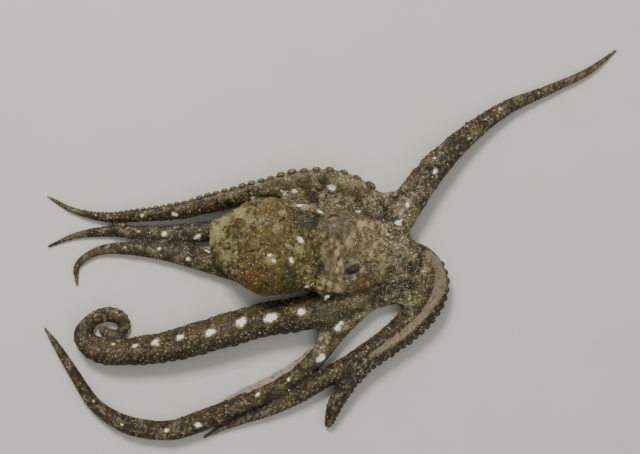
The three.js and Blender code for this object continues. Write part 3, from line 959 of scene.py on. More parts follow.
def knob_field(part, along, turn):
    """Where the knobs rise, from 0 to 1, and how high they are in millimetres."""
    rng = np.random.default_rng(SEED + 5)
    knob, height = np.zeros(len(part)), np.zeros(len(part))
    arm = arms[KNOBS["arm"]]
    on = part == PARTS.index(arm.name)
    start, stop = KNOBS["reach"]
    step = KNOBS["step"]
    count = int((stop - start) / step) + 1
    jitter = rng.normal(0, KNOBS["stray"] * step, count)
    sizes = rng.uniform(*KNOBS["sizes"], count)
    index = np.clip(np.round((along[on] - start) / step), 0, count - 1).astype(int)
    middle = start + index * step + jitter[index]
    stations = np.linspace(start, stop, len(KNOBS["level"]))
    level = np.radians(np.interp(along[on], stations, KNOBS["level"]))
    aside = (turn[on] - level + np.pi) % (2 * np.pi) - np.pi
    half = arm.at(along[on])[2]
    size = KNOBS["size"] * sizes[index] * np.clip(half / arm.at(np.array([start]))[2], 0.3, 1)
    away = ((along[on] - middle) ** 2 + (aside * half) ** 2) / size**2
    knob[on] = np.exp(-away)
    full = np.clip(half / KNOBS["full_at"], 0.2, 1)
    height[on] = KNOBS["height"] * sizes[index] * np.exp(-away) * full
    return knob, height


def skirt_field(part, turn):
    """How far each place belongs to the dark sucker side of its arm."""
    strength = np.zeros(len(part))
    for name, value in SKIRTS.items():
        strength[part == PARTS.index(name)] = value
    return strength * smooth_step(*SKIRT_FADES, np.sin(turn))


def band_field(part, along, turn):
    """How far each place lies outside the smooth band, in millimetres; below 0 within it."""
    field = np.full(len(part), FAR_OFF["band"])
    on = part == PARTS.index(BAND["arm"])
    half = arms[BAND["arm"]].at(along)[2]
    line = np.radians(np.interp(along, BAND["along"], BAND["level"]))
    reach = np.interp(along, BAND["along"], BAND["half_width"])
    field[on] = (np.abs(turn - line) * half - reach)[on]
    return field


def edging_field(part, along, turn):
    """How far each place lies from the pale edging, in millimetres."""
    field = np.full(len(part), FAR_OFF["edging"])
    on = part == PARTS.index(EDGING["arm"])
    half = arms[EDGING["arm"]].at(along)[2]
    (start, stop), fade = EDGING["reach"], EDGING["fade"]
    shown = smooth_step(start, start + fade, along) * (1 - smooth_step(stop - fade, stop, along))
    distance = np.abs(turn - math.radians(EDGING["level"])) * half
    distance += EDGING["beyond"] * (1 - shown)
    field[on] = np.minimum(field[on], distance[on])
    return field


def arm_tones(part, along):
    """Strength of gold, grey, flecks and pale shreds along the arms, on the webs and elsewhere."""
    tones = np.tile(OTHER_TONES, (len(part), 1))
    tones[part == PARTS.index("web")] = WEB_TONES
    tones[part == PARTS.index("crown")] = CROWN_TONES
    for index, (name, arm) in enumerate(arms.items()):
        on = part == index
        shares, *columns = np.array(ARMS[name]["tones"]).T
        for column, values in enumerate(columns):
            tones[on, column] = np.interp(along[on] / arm.length, shares, values)
    return tones.T


def unwrap(part, along, turn):
    """Places of skin points on a flat layout: each part is a strip, its length along U."""
    lengths = np.array([arm.length for arm in arms.values()] + [1.0] * (len(PARTS) - len(ARMS)))
    u = np.clip(along / lengths[part], 0, 1)
    v = (part + STRIP_MARGIN + STRIP_WIDTH * ((turn / (2 * np.pi)) % 1.0)) / len(PARTS)
    return UNWRAP_MARGIN + (1 - 2 * UNWRAP_MARGIN) * u, v


def hollowness(piece, edges, rounds):
    """How far each point lies below its surroundings, in millimetres; below 0 on a rise."""
    places = points(piece)
    even = np.stack([spread(places[:, i], edges, rounds) for i in range(3)], 1)
    return ((even - places) * normals_of(piece)).sum(1) / MM


def among(part, names):
    return np.isin(part, [PARTS.index(name) for name in names]).astype(float)


def mark_skin(skin, flesh, rise, knob):
    """Stores on the skin where its parts, markings and areas lie."""
    places = points(skin)
    edges = edges_of(skin)
    at = (places - CROWN_MIDDLE) / MM
    part, along, turn = nearest_flesh(flesh, places)
    trunk, head, web = (among(part, names) for names in (["mantle"], HEAD_PARTS, ["web"]))
    middle = 1 - smooth_step(*CROWN_FADES, np.hypot(at[:, 0], at[:, 1]))
    gold, grey, flecks, shreds = arm_tones(part, along)
    top = np.maximum(np.maximum(trunk, web), np.maximum(head, middle)) * (at[:, 2] > AREAS_ABOVE)
    creases = np.maximum(hollowness(skin, edges, 24), 0)
    nothing = np.zeros(len(places))
    u, v = unwrap(part, along, turn)
    # The values of each field, and the rounds that they are evened out over.
    fields = {
        "mantle": (trunk, 120),
        "head": (head, 60),
        "crown": (np.maximum(middle, shreds) * (1 - np.maximum(trunk, head)), 12),
        "back": (np.where(part < len(ARMS), np.sin(turn), 1.0), 3),
        "skirt": (skirt_field(part, turn), 3),
        "knob": (knob, 0),
        "spot": (spot_field(places, tree_of(skin)), 1),
        "band": (band_field(part, along, turn), 1),
        "edging": (edging_field(part, along, turn), 0),
        "gold": (gold, 12),
        "grey": (grey, 12),
        "flecks": (flecks, 12),
        **{name: (areas(at, table) * top, 3) for name, table in AREAS.items()},
        # The next field is painted light: a pale veil that brightens these areas.
        "painted_light": (areas(at, PAINTED_LIGHT_AREAS), 0),
        "rise": (rise, 0),
        # The next field is how far the skin lies below its surroundings, broad creases included; the
        # finish paints shade where it is high and a highlight where it is below 0.
        "hollow": (hollowness(skin, edges, 3) * 3 + creases * 0.4, 0),
        "fin": (nothing, 0),
        "fleck": (nothing, 0),
        "unwrap_u": (u, 0),
        "unwrap_v": (v, 0),
    }
    for name, (values, rounds) in fields.items():
        keep(skin, name, spread(values, edges, rounds))


def add_fin():
    """The loose fin along one arm, as a closed thin sheet that leaves the arm's side."""
    arm = arms[FIN["arm"]]
    piece = add(bpy.ops.mesh.primitive_grid_add, x_subdivisions=12, y_subdivisions=90, size=1)
    at = points(piece)
    outward, along = at[:, 0] + 0.5, at[:, 1] + 0.5
    way = (FIN["from"] + (FIN["to"] - FIN["from"]) * along) * arm.length
    x, y, half, hx, hy = arm.at(way)
    stands = FIN["stands"] * np.sin(np.pi * np.clip(along, 0.01, 0.99)) ** FIN["fullness"]
    ruffle = np.sin(way / FIN["ruffle_length"]) * outward**2
    beyond = half * (1 - FIN["root"]) + stands + FIN["ruffle_out"] * ruffle
    side = half * FIN["root"] + outward * beyond
    drop = FIN["height"] - FIN["drop"] * outward**1.5 + FIN["ruffle_up"] * ruffle
    places = np.stack([x + hy * side, y - hx * side, np.maximum(drop, SKIN_CLEARANCE)], 1)
    move_points(piece, placed(places))
    modifier = piece.modifiers.new("Thickness", "SOLIDIFY")
    modifier.thickness = FIN["thickness"] * MM
    modifier.offset = 0
    apply_all(piece)
    edit(piece, bpy.ops.mesh.normals_make_consistent, inside=False)
    for name in SKIN_FIELDS:
        keep(piece, name, np.full(len(piece.data.vertices), FIN_FIELDS.get(name, 0.0)))
    return piece


def merged(bodies, step):
    """One closed skin round all the bodies of flesh, with points about a step apart."""
    skin = join(bodies, "skin")
    merge = skin.modifiers.new("Merge", "REMESH")
    merge.mode = "VOXEL"
    merge.voxel_size = step
    apply_all(skin)
    skin = largest_part(skin)
    skin.name = skin.data.name = "skin"
    return skin


def stoutness(part, along):
    """0 where an arm is thin, 1 where it is thick and on the trunk."""
    stout = np.where(part < len(ARMS), 0.0, 1.0)
    for index, arm in enumerate(arms.values()):
        on = part == index
        stout[on] = smooth_step(*TIP_HALVES, arm.at(along[on])[2])
    return stout


def webbed_places(at, edges):
    """How far the skin is drawn smooth: between the arms' bases and at the joints of the trunk."""
    away = np.hypot(at[:, 0], at[:, 1])
    round_crown = (1 - smooth_step(*WEBBING["fades"], away)) * (at[:, 2] < WEBBING["below"])
    neck, front = (
        (1 - smooth_step(*joint["fades"], np.abs(at[:, 0] - joint["x"])))
        * (at[:, 2] > joint["above"]) * (np.abs(at[:, 1]) < JOINT_HALF_WIDTH)
        for joint in JOINTS
    )
    joints = np.maximum(neck, front)
    return np.maximum(*(spread(field, edges, WEBBING["blur"]) for field in (round_crown, joints)))


class OCTOPUS_OT_skin(bpy.types.Operator):
    """Grow the skin over all the flesh and mark its parts"""

    bl_idname = "octopus.skin"
    bl_label = "Skin"

    def execute(self, context):
        form = context.scene.octopus_form
        flesh = add_all_flesh()
        skin = merged(flesh.bodies, form.skin_step * (1))
        at = (points(skin) - CROWN_MIDDLE) / MM
        part, along, turn = nearest_flesh(flesh, points(skin))
        edges = edges_of(skin)
        stout = stoutness(part, along)
        backs = np.where(part < len(ARMS), smooth_step(*BACK_FADES, np.sin(turn)), 1.0)
        relief = spread(backs, edges, 3) * smooth_step(*FOOT_FADES, at[:, 2])
        relief *= TIP_RELIEF + (1 - TIP_RELIEF) * spread(stout, edges, 3)
        relief *= 1 - (1 - PLAIN_RELIEF) * areas(at, PLAIN_AREAS)
        everywhere = spread(stout, edges, 2) * (1 - TIP_EVENING) + TIP_EVENING
        weigh(skin, "everywhere", everywhere)
        weigh(skin, "webbed", webbed_places(at, edges))
        weigh(skin, "relief", relief)
        smooth(skin, "Even out", EVEN_ROUNDS, "everywhere")
        smooth(skin, "Webbing", WEBBING["rounds"], "webbed")
        displace(skin, "Lumps", "CLOUDS", LUMP_SIZE, form.lump_height, "relief")
        displace(skin, "Warts", "VORONOI", WART_SIZE, -form.wart_height, "relief")
        smooth(skin, "Soften", SOFTEN_ROUNDS, "everywhere")
        apply_all(skin)
        places = points(skin)
        on_trunk = spread(among(part, TRUNK_PARTS) * (at[:, 2] > LUMPS_ABOVE), edges, 4) * relief
        rise, height = lump_field(at)
        knob, knob_height = knob_field(part, along, turn)
        stands = (height - LUMPS_SINK) * on_trunk + knob_height
        places += normals_of(skin) * (stands * MM)[:, None]
        places[:, 2] = np.clip(places[:, 2], SKIN_CLEARANCE * MM, CAD_BOX[1].z - BELOW_ROOF)
        move_points(skin, places)
        skin.vertex_groups.clear()
        mark_skin(skin, flesh, rise * on_trunk, knob)
        skin = join([skin, add_fin()], "skin")
        flesh_nodes = [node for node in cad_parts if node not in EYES]
        hand_over(skin, skin_finish(context.scene.octopus_colours), flesh_nodes)
        return {"FINISHED"}


# ---- Suckers --------------------------------------------------------------------------

# One sucker from its foot to the rim and down into the cup: [radius, height] over its radius.
SUCKER_PROFILE = [
    [0.7, -0.5], [0.94, -0.05], [1.0, 0.28], [0.92, 0.58], [0.72, 0.7], [0.5, 0.5], [0.3, 0.22],
]
SUCKERS_START = 23  # from the crown's middle along an arm
SUCKER_ROWS = 30  # how far each row lies from the middle of the sucker side, in degrees
SMALLEST_SUCKER = 0.45
SUCKER_SINKS = 0.36  # share of its radius that a sucker on the arm's side lies deeper
SUCKER_SPACING = 1.18  # from one to the next, over their radius
SUCKER_SIDES = 9
SUCKERS_END = 3  # from the arm's tip
SUCKER_STRAY = 0.03
SUCKER_SIZES = (0.78, 1.12)
SUCKER_BURIED = 0.6  # nearer to the floor than this share of its radius, a sucker faces down
SUCKER_FADES = (-0.8, -0.4)  # suckers sink deeper as they face less downwards
SUCKER_SEAT = {"reach": 0.8, "facing": 0.6}  # the largest distance over its radius, and cosine
SUCKER_RIM = {"at": 0.76, "width": 0.16, "above": 0.3}
SUCKER_CUP = {"within": 0.5, "above": 0.1}
PATCH_SLOPE = 0.6  # how fast a shape's flat patch widens with its own width


def taken_from(piece):
    """A piece's points and faces, to be copied; the piece itself is deleted."""
    shape, faces = points(piece), faces_of(piece)
    bpy.data.objects.remove(piece)
    return shape, faces


def turned(profile, sides):
    """A round shape on the floor, a disc extruded ring by ring. Returns its points and faces."""
    radius, height = profile[0]
    piece = add(
        bpy.ops.mesh.primitive_circle_add, vertices=sides, radius=radius, fill_type="NGON",
        location=(0, 0, height),
    )
    bpy.ops.object.transform_apply(location=True, rotation=False, scale=False)
    bpy.ops.object.mode_set(mode="EDIT")
    bpy.ops.mesh.select_all(action="SELECT")
    for next_radius, next_height in profile[1:]:
        rise = (0, 0, next_height - height)
        bpy.ops.mesh.extrude_region_move(TRANSFORM_OT_translate={"value": rise})
        bpy.ops.transform.resize(value=(next_radius / radius, next_radius / radius, 1))
        radius, height = next_radius, next_height
    bpy.ops.mesh.poke()
    bpy.ops.object.mode_set(mode="OBJECT")
    edit(piece, bpy.ops.mesh.normals_make_consistent, inside=False)
    return taken_from(piece)


def patch_of(shape):
    """The shape laid flat as a disc 1 across, its top in the middle."""
    reach = np.hypot(shape[:, 0], shape[:, 1])
    top = shape[:, 2].max()
    level = (top - shape[:, 2]) + PATCH_SLOPE * reach
    level = level / level.max() / 2
    turn = np.arctan2(shape[:, 1], shape[:, 0])
    return np.stack([np.cos(turn) * level, np.sin(turn) * level], 1)


def lay_out(piece, patch, centres, width):
    """Gives each copy its own patch on a map named OFBake, for its finish."""
    flat = (centres[:, None, :] + patch[None] * width).reshape(-1, 2)
    corners = read(piece.data.loops, "vertex_index", 1, int)[:, 0]
    layer = piece.data.uv_layers.new(name="OFBake")
    layer.data.foreach_set("uv", flat[corners].astype(np.float32).ravel())


def copies(name, shape, faces, feet, axes, sizes):
    """One mesh of many copies of a shape, each on its foot with its own axes and size."""
    places = feet[:, None, :] + np.einsum("kc,nca->nka", shape, axes) * sizes[:, None, None]
    mesh = bpy.data.meshes.new(name)
    starts = range(0, len(feet) * len(shape), len(shape))
    all_faces = [tuple(corner + start for corner in face) for start in starts for face in faces]
    mesh.from_pydata(places.reshape(-1, 3), [], all_faces)
    piece = bpy.data.objects.new(name, mesh)
    bpy.context.scene.collection.objects.link(piece)
    return piece


def unit(directions):
    return directions / np.linalg.norm(directions, axis=1)[:, None]


def sucker_places(arm, rng):
    """Feet, axes and radii of an arm's two alternating rows of suckers."""
    settings = ARMS[arm.name]
    rows = []
    along = SUCKERS_START
    side = 0
    while along < arm.length - SUCKERS_END:
        half = float(arm.at(np.array([along]))[2][0])
        radius = settings["suckers"] * 2 * half
        if radius < SMALLEST_SUCKER:
            break
        rows.append([along, side, radius])
        side = 1 - side
        along += radius * SUCKER_SPACING
    along, side, radius = np.array(rows).T
    aside = math.radians(settings.get("rows", SUCKER_ROWS))
    turn = np.where(side > 0, aside, -aside) - math.pi / 2
    turn = turn + rng.normal(0, SUCKER_STRAY, len(turn))
    foot = arm.surface(along, turn, rounded=False)
    out = unit(arm.surface(along, turn, proud=1.0, rounded=False) - foot)
    buried = smooth_step(SUCKER_BURIED * radius, 0, foot[:, 2] - SKIN_CLEARANCE)
    out = unit(out * (1 - buried)[:, None] + np.outer(buried, [0, 0, -1]))
    foot -= out * (SUCKER_SINKS * radius * smooth_step(*SUCKER_FADES, out[:, 2]))[:, None]
    foot[:, 2] = np.maximum(foot[:, 2], SKIN_CLEARANCE)
    heading = np.stack([*arm.at(along)[3:], np.zeros(len(along))], 1)
    heading = unit(heading - out * (heading * out).sum(1)[:, None])
    axes = np.stack([heading, np.cross(out, heading), out], 1)
    return foot, axes, radius * rng.uniform(*SUCKER_SIZES, len(radius))


def seated(tree, feet, axes, radii):
    """The suckers whose feet lie on open skin: none stands inside the flesh or on a back."""
    kept = []
    for index, foot in enumerate(placed(feet)):
        _, normal, _, distance = tree.find_nearest(Vector(foot))
        near = distance < SUCKER_SEAT["reach"] * radii[index] * MM
        if near and np.dot(normal, axes[index, 2]) > SUCKER_SEAT["facing"]:
            kept.append(index)
    return feet[kept], axes[kept], radii[kept]


class OCTOPUS_OT_suckers(bpy.types.Operator):
    """Set two rows of suckers under every arm"""

    bl_idname = "octopus.suckers"
    bl_label = "Suckers"

    def execute(self, context):
        shape, faces = turned(SUCKER_PROFILE, SUCKER_SIDES)
        finish = sucker_finish(context.scene.octopus_colours)
        rng = np.random.default_rng(SEED)
        reach = np.hypot(shape[:, 0], shape[:, 1])
        rim = np.exp(-(((reach - SUCKER_RIM["at"]) / SUCKER_RIM["width"]) ** 2))
        rim *= shape[:, 2] > SUCKER_RIM["above"]
        hollow = (reach < SUCKER_CUP["within"]) * (shape[:, 2] > SUCKER_CUP["above"])
        tree = tree_of(bpy.data.objects["skin"])
        for name, arm in arms.items():
            feet, axes, sizes = seated(tree, *sucker_places(arm, rng))
            piece = copies(f"{name}_suckers", shape, faces, placed(feet), axes, sizes * MM)
            keep(piece, "rim", np.tile(rim, len(feet)))
            keep(piece, "hollow", np.tile(hollow, len(feet)))
            keep(piece, "skirt", np.full(len(shape) * len(feet), SKIRTS[name]))
            cells = math.ceil(math.sqrt(len(feet)))
            order = np.arange(len(feet))
            centres = (np.stack([order % cells, order // cells], 1) + 0.5) / cells
            lay_out(piece, patch_of(shape), centres, 0.9 / cells)
            hand_over(piece, finish)
        return {"FINISHED"}


# ---- Eyes -----------------------------------------------------------------------------------

EYE_BULGE = 0.035
EYE_CLEARANCE = 0.25  # the eyeball is this much smaller than the eye of the solids


class OCTOPUS_OT_eyes(bpy.types.Operator):
    """Set the two eyeballs between their lids"""

    bl_idname = "octopus.eyes"
    bl_label = "Eyes"

    def execute(self, context):
        finish = eye_finish(context.scene.octopus_colours, context.scene.octopus_form)
        for name, eye in EYES.items():
            side, up, out = facing(eye["looks"])
            piece, _, _ = ball(*EYEBALL_GRID)
            at = points(piece)
            flat = np.hypot(at[:, 0], at[:, 1])
            bulge = 1 + EYE_BULGE * smooth_step(0.75, 0.2, flat) * (at[:, 2] > 0)
            shape = at * (bulge * (EYE_RADIUS - EYE_CLEARANCE))[:, None]
            move_points(piece, placed(np.array(eye["at"]) + shape @ np.stack([side, up, out])))
            keep(piece, "eye_across", at[:, 0] * EYE_RADIUS)
            keep(piece, "eye_up", at[:, 1] * EYE_RADIUS)
            piece.name = piece.data.name = name + "_ball"
            hand_over(piece, finish, [name])
        return {"FINISHED"}


# ---- Beads and papillae -------------------------------------------------------------------

PATCH = 0.003  # width of one bead's patch on the map of the skin
BEADS_ABOVE = 0.003
CROWD_SIZE = 0.0045  # beads stand in crowds about this wide
CROWD_RAGGEDNESS = 0.22
CROWD_LIMIT = 0.16  # the higher, the fewer beads
BEAD_LEAN = 0.15
BEAD_STRETCH = (0.8, 1.9)
BEAD_HEIGHTS = (0.5, 0.9)
BEAD_SPREAD = 0.32  # of their sizes
LIT_BEADS = {"mantle": 0.28, "head": 0.28}  # share of pale beads, where it isn't the arms'
LIT_ON_ARMS = 0.5
LIT_TONES = (0.2, 0.9)
CREST = (0.0, 0.5)  # from where to where up a bead its pale top begins

# A papilla from its foot to its tip, [radius, height] over its foot's radius, and how it bends.
PAPILLA_PROFILE = [[0.9, -1.0], [1.0, 0.6], [0.85, 2.2], [0.68, 3.8], [0.5, 5.2], [0.24, 6.4]]
PAPILLA_BEND = 0.12
PAPILLA_SIDES = 6
PAPILLA_RISES = (0.05, 0.45)  # how steeply papillae stand up from the skin
PAPILLA_STRETCH = (1.0, 2.6)
PAPILLA_SPREAD = 0.3  # of their sizes
PAPILLA_STRAY = 0.6  # how far they stray from the way their zone lies
PAPILLA_TONES = (0.7, 1.6)
PAPILLA_TIP = (-0.5, 2.2)  # from where to where up a papilla its own tone begins
PAPILLA_LEVEL = 0.25  # papillae stand where the skin faces up at least this much

# Where papillae stand: middle [x, y], reach, how many, and the way they lie in degrees.
PAPILLAE = [
    {"middle": [-13, 2], "reach": [12, 13], "count": 150, "lies": -50},
    {"middle": [-17, -11], "reach": [5, 8], "count": 50, "lies": 60},
    {"middle": [6, -4], "reach": [18, 22], "count": 170, "lies": -40},
    {"middle": [-18, 38], "reach": [24, 10], "count": 90, "lies": 200},
    {"middle": [-51, -21], "reach": [6, 3], "count": 22, "lies": 215},
    {"middle": [-66, 27], "reach": [6, 5], "count": 24, "lies": 160},
    {"middle": [-56, 27], "reach": [12, 2.5], "count": 36, "lies": -20},
    {"middle": [-36, 30], "reach": [20, 5], "count": 36, "lies": 170},
    {"middle": [-88, 2], "reach": [26, 24], "count": 60, "lies": -30},
]


def frames_on(out, rng):
    """Axes for copies that stand along `out`, turned at random round it."""
    out = unit(out)
    first = unit(np.cross(out, rng.normal(0, 1, out.shape)))
    return np.stack([first, np.cross(out, first), out], 1)


def grow_on_skin(name, skin, chosen, shape, faces, axes, sizes, fleck):
    """Copies of a shape on chosen points of the skin, with the skin's own fields and finish."""
    piece = copies(name, shape, faces, points(skin)[chosen], axes, sizes)
    for field in SKIN_FIELDS:
        values = np.repeat(stored(skin, field)[chosen], len(shape))
        keep(piece, field, fleck if field == "fleck" else values)
    centres = np.stack([stored(skin, "unwrap_u"), stored(skin, "unwrap_v")], 1)[chosen]
    lay_out(piece, patch_of(shape), centres, PATCH)
    hand_over(piece, skin.data.materials[0])


class OCTOPUS_OT_beads(bpy.types.Operator):
    """Scatter small beads over the backs of the arms and the trunk"""

    bl_idname = "octopus.beads"
    bl_label = "Beads"

    def execute(self, context):
        form = context.scene.octopus_form
        skin = bpy.data.objects["skin"]
        rng = np.random.default_rng(SEED + 1)
        places, normals = points(skin), normals_of(skin)
        chance = form.bead_share * smooth_step(-0.3, 0.4, stored(skin, "back"))
        chance *= (stored(skin, "fin") < 0.5) * (stored(skin, "band") > 0.3)
        chance *= (places[:, 2] > BEADS_ABOVE) * (stored(skin, "plain") < 0.4)
        chance *= 0.35 + 0.65 * stored(skin, "flecks")
        chosen = np.flatnonzero(rng.random(len(places)) < chance)
        crowd = np.array([noise.noise(Vector(place) / CROWD_SIZE) for place in places[chosen]])
        chosen = chosen[crowd + rng.normal(0, CROWD_RAGGEDNESS, len(chosen)) > CROWD_LIMIT]
        strip = np.floor(stored(skin, "unwrap_v")[chosen] * len(PARTS)).astype(int)
        bead = add(bpy.ops.mesh.primitive_ico_sphere_add, subdivisions=1, radius=1)
        shape, faces = taken_from(bead)
        groups = {name: strip == index for index, name in enumerate(ARMS)}
        groups["mantle"] = strip == PARTS.index("mantle")
        groups["head"] = strip > PARTS.index("mantle")
        for name, on in groups.items():
            picked = chosen[on]
            count = len(picked)
            axes = frames_on(normals[picked] + rng.normal(0, BEAD_LEAN, (count, 3)), rng)
            long, tall = rng.uniform(*BEAD_STRETCH, count), rng.uniform(*BEAD_HEIGHTS, count)
            axes *= np.stack([long, np.ones(count), tall], 1)[:, :, None]
            sizes = form.bead_radius * np.exp(rng.normal(0, BEAD_SPREAD, count))
            lit = rng.random(count) < LIT_BEADS.get(name, LIT_ON_ARMS)
            tone = np.where(lit, rng.uniform(*LIT_TONES, count), 0)
            crest = smooth_step(*CREST, shape[:, 2])
            fleck = np.repeat(tone, len(shape)) * np.tile(crest, count)
            grow_on_skin(f"{name}_beads", skin, picked, shape, faces, axes, sizes, fleck)
        return {"FINISHED"}


class OCTOPUS_OT_papillae(bpy.types.Operator):
    """Set thin papillae round the right eye, along the ridge, on crown and mantle"""

    bl_idname = "octopus.papillae"
    bl_label = "Papillae"

    def execute(self, context):
        skin = bpy.data.objects["skin"]
        rng = np.random.default_rng(SEED + 2)
        places, normals = points(skin), normals_of(skin)
        at = (places - CROWN_MIDDLE) / MM
        open_skin = (stored(skin, "plain") < 0.3) & (stored(skin, "fin") < 0.5)
        open_skin &= normals[:, 2] > PAPILLA_LEVEL
        chosen, ways = [], []
        for zone in PAPILLAE:
            reach = (at[:, :2] - zone["middle"]) / zone["reach"]
            near = np.flatnonzero(open_skin & ((reach**2).sum(1) < 1))
            chosen.append(rng.choice(near, zone["count"], replace=False))
            ways.append(np.radians(zone["lies"]) + rng.normal(0, PAPILLA_STRAY, zone["count"]))
        chosen, ways = np.concatenate(chosen), np.concatenate(ways)
        count = len(ways)
        lies = np.stack([np.cos(ways), np.sin(ways), np.zeros(count)], 1)
        axes = frames_on(lies + normals[chosen] * rng.uniform(*PAPILLA_RISES, (count, 1)), rng)
        shape, faces = turned(PAPILLA_PROFILE, PAPILLA_SIDES)
        shape[:, 0] += PAPILLA_BEND * shape[:, 2] * np.abs(shape[:, 2])
        axes[:, :, 2] *= rng.uniform(*PAPILLA_STRETCH, (count, 1))
        radius = context.scene.octopus_form.papilla_radius
        sizes = radius * np.exp(rng.normal(0, PAPILLA_SPREAD, count))
        tip = smooth_step(*PAPILLA_TIP, shape[:, 2])
        fleck = np.repeat(rng.uniform(*PAPILLA_TONES, count), len(shape)) * np.tile(tip, count)
        grow_on_skin("papillae", skin, chosen, shape, faces, axes, sizes, fleck)
        return {"FINISHED"}


# ---- Finishes ---------------------------------------------------------------------------


class Value:
    """A socket of a material that takes part in sums."""

    def __init__(self, graph, socket):
        self.graph, self.socket = graph, socket

    def sum_of(self, operation, *terms):
        return self.graph.node("ShaderNodeMath", {"operation": operation}, terms)

    def __add__(self, other):
        return self.sum_of("ADD", self, other)

    def __sub__(self, other):
        return self.sum_of("SUBTRACT", self, other)

    def __rsub__(self, other):
        return self.sum_of("SUBTRACT", other, self)

    def __mul__(self, other):
        return self.sum_of("MULTIPLY", self, other)

    def __truediv__(self, other):
        return self.sum_of("DIVIDE", self, other)

    __radd__, __rmul__ = __add__, __mul__

    def larger(self, other):
        return self.sum_of("MAXIMUM", self, other)

    def root(self):
        return self.sum_of("SQRT", self)

    def rise(self, start, end):
        """0 below start and 1 above end, smooth between; it falls where end is below start."""
        low_end, high_end, ends = (start, end, [0, 1]) if start < end else (end, start, [1, 0])
        return self.graph.node(
            "ShaderNodeMapRange", {"interpolation_type": "SMOOTHSTEP"},
            [self, low_end, high_end, *ends],
        )


class Graph:
    """A material under construction."""

    def __init__(self, name):
        self.material = bpy.data.materials.new(name)
        self.material.use_nodes = True
        self.tree = self.material.node_tree
        self.shader = self.tree.nodes["Principled BSDF"]
        self.at = self.node("ShaderNodeTexCoord", {}, [], "Object")

    def node(self, kind, settings, values, output=0):
        node = self.tree.nodes.new(kind)
        for name, value in settings.items():
            setattr(node, name, value)
        for name, value in values.items() if isinstance(values, dict) else enumerate(values):
            if isinstance(value, Value):
                self.tree.links.new(value.socket, node.inputs[name])
            else:
                node.inputs[name].default_value = value
        return Value(self, node.outputs[output])

    def vector(self, operation, values):
        return self.node("ShaderNodeVectorMath", {"operation": operation}, values)

    def field(self, name):
        return self.node("ShaderNodeAttribute", {"attribute_name": name}, [], "Fac")

    def noise(self, size, detail=2.0, roughness=0.5, at=None, output="Fac"):
        """Noise from 0 to 1 whose lumps are about `size` millimetres wide."""
        values = {
            "Vector": at or self.at, "Scale": 1 / (size * MM), "Detail": detail, "Roughness": roughness,
        }
        return self.node("ShaderNodeTexNoise", {}, values, output)

    def warped(self, size, reach):
        """Places shifted by up to `reach` millimetres, in waves `size` millimetres wide."""
        wave = self.noise(size, output="Color")
        shift = self.vector("SUBTRACT", [wave, (0.5, 0.5, 0.5)])
        return self.vector("ADD", [self.at, self.vector("SCALE", {0: shift, 3: 2 * reach * MM})])

    def cells(self, size, at=None):
        """Cells of about `size` millimetres: how far from a cell's middle, and its random value."""
        values = {"Vector": at or self.at, "Scale": 1 / (size * MM)}
        distance = self.node("ShaderNodeTexVoronoi", {"feature": "F1"}, values, "Distance")
        tone = Value(self, distance.socket.node.outputs["Color"])
        return distance, self.node("ShaderNodeSeparateColor", {}, [tone], "Red")

    def specks(self, size, density, reach, at=None):
        """Separate specks in cells of `size` millimetres; the larger the density, the more."""
        distance, chance = self.cells(size, at)
        return distance.rise(reach, reach * 0.6) * (chance + density).rise(0.97, 1.03)

    def mix(self, factor, first, second):
        values = {0: factor, 6: first, 7: second}
        return self.node("ShaderNodeMix", {"data_type": "RGBA"}, values, 2)

    def bump(self, height, distance, strength):
        values = {"Height": height, "Distance": distance * MM, "Strength": strength}
        return self.node("ShaderNodeBump", {}, values)

    def finish(self, base, roughness, normal, **constants):
        for name, value in (("Base Color", base), ("Roughness", roughness), ("Normal", normal)):
            if isinstance(value, Value):
                self.tree.links.new(value.socket, self.shader.inputs[name])
            elif value is not None:
                self.shader.inputs[name].default_value = value
        for name, value in constants.items():
            self.shader.inputs[name.replace("_", " ")].default_value = value
        return self.material


def arm_colour(g, tones, gold, mottle, cloud, patch, skirt):
    """Dark brown with golden and purple-grey stretches, and a grey-green sucker side."""
    arm = g.mix(mottle.rise(0.38, 0.6), tones.arm_dark, tones.arm_brown)
    arm = g.mix(gold * (cloud + mottle).rise(0.85, 1.15), arm, tones.arm_gold)
    arm = g.mix(g.field("grey") * (patch + mottle).rise(0.8, 1.1) * 0.9, arm, tones.arm_grey)
    arm = g.mix(skirt * 0.9, arm, g.mix(mottle.rise(0.4, 0.65), tones.arm_dark, tones.skirt))
    return g.mix(g.field("knob").rise(0.15, 0.5) * 0.8, arm, tones.arm_dark)


def crown_colour(g, tones, mottle, grain, patch, torn):
    """Grey and brown under pale ragged shreds, with olive patches."""
    shred = g.noise(5.5, 5, 0.68, torn)
    wisp = g.noise(2.4, 5, 0.7, g.warped(3.0, 4.5))
    base = g.mix((mottle + (grain - 0.5) * 0.4).rise(0.36, 0.6), tones.slate, tones.head_dark)
    base = g.mix(shred.rise(0.5, 0.38) * 0.85, base, tones.arm_dark)
    base = g.mix((patch + mottle).rise(0.95, 1.15) * 0.5, base, tones.mantle_olive)
    pale = shred * 0.7 + wisp * 0.7 + (grain - 0.5) * 0.3
    return g.mix(pale.rise(0.68, 0.84) * 0.9, base, tones.crown_pale)


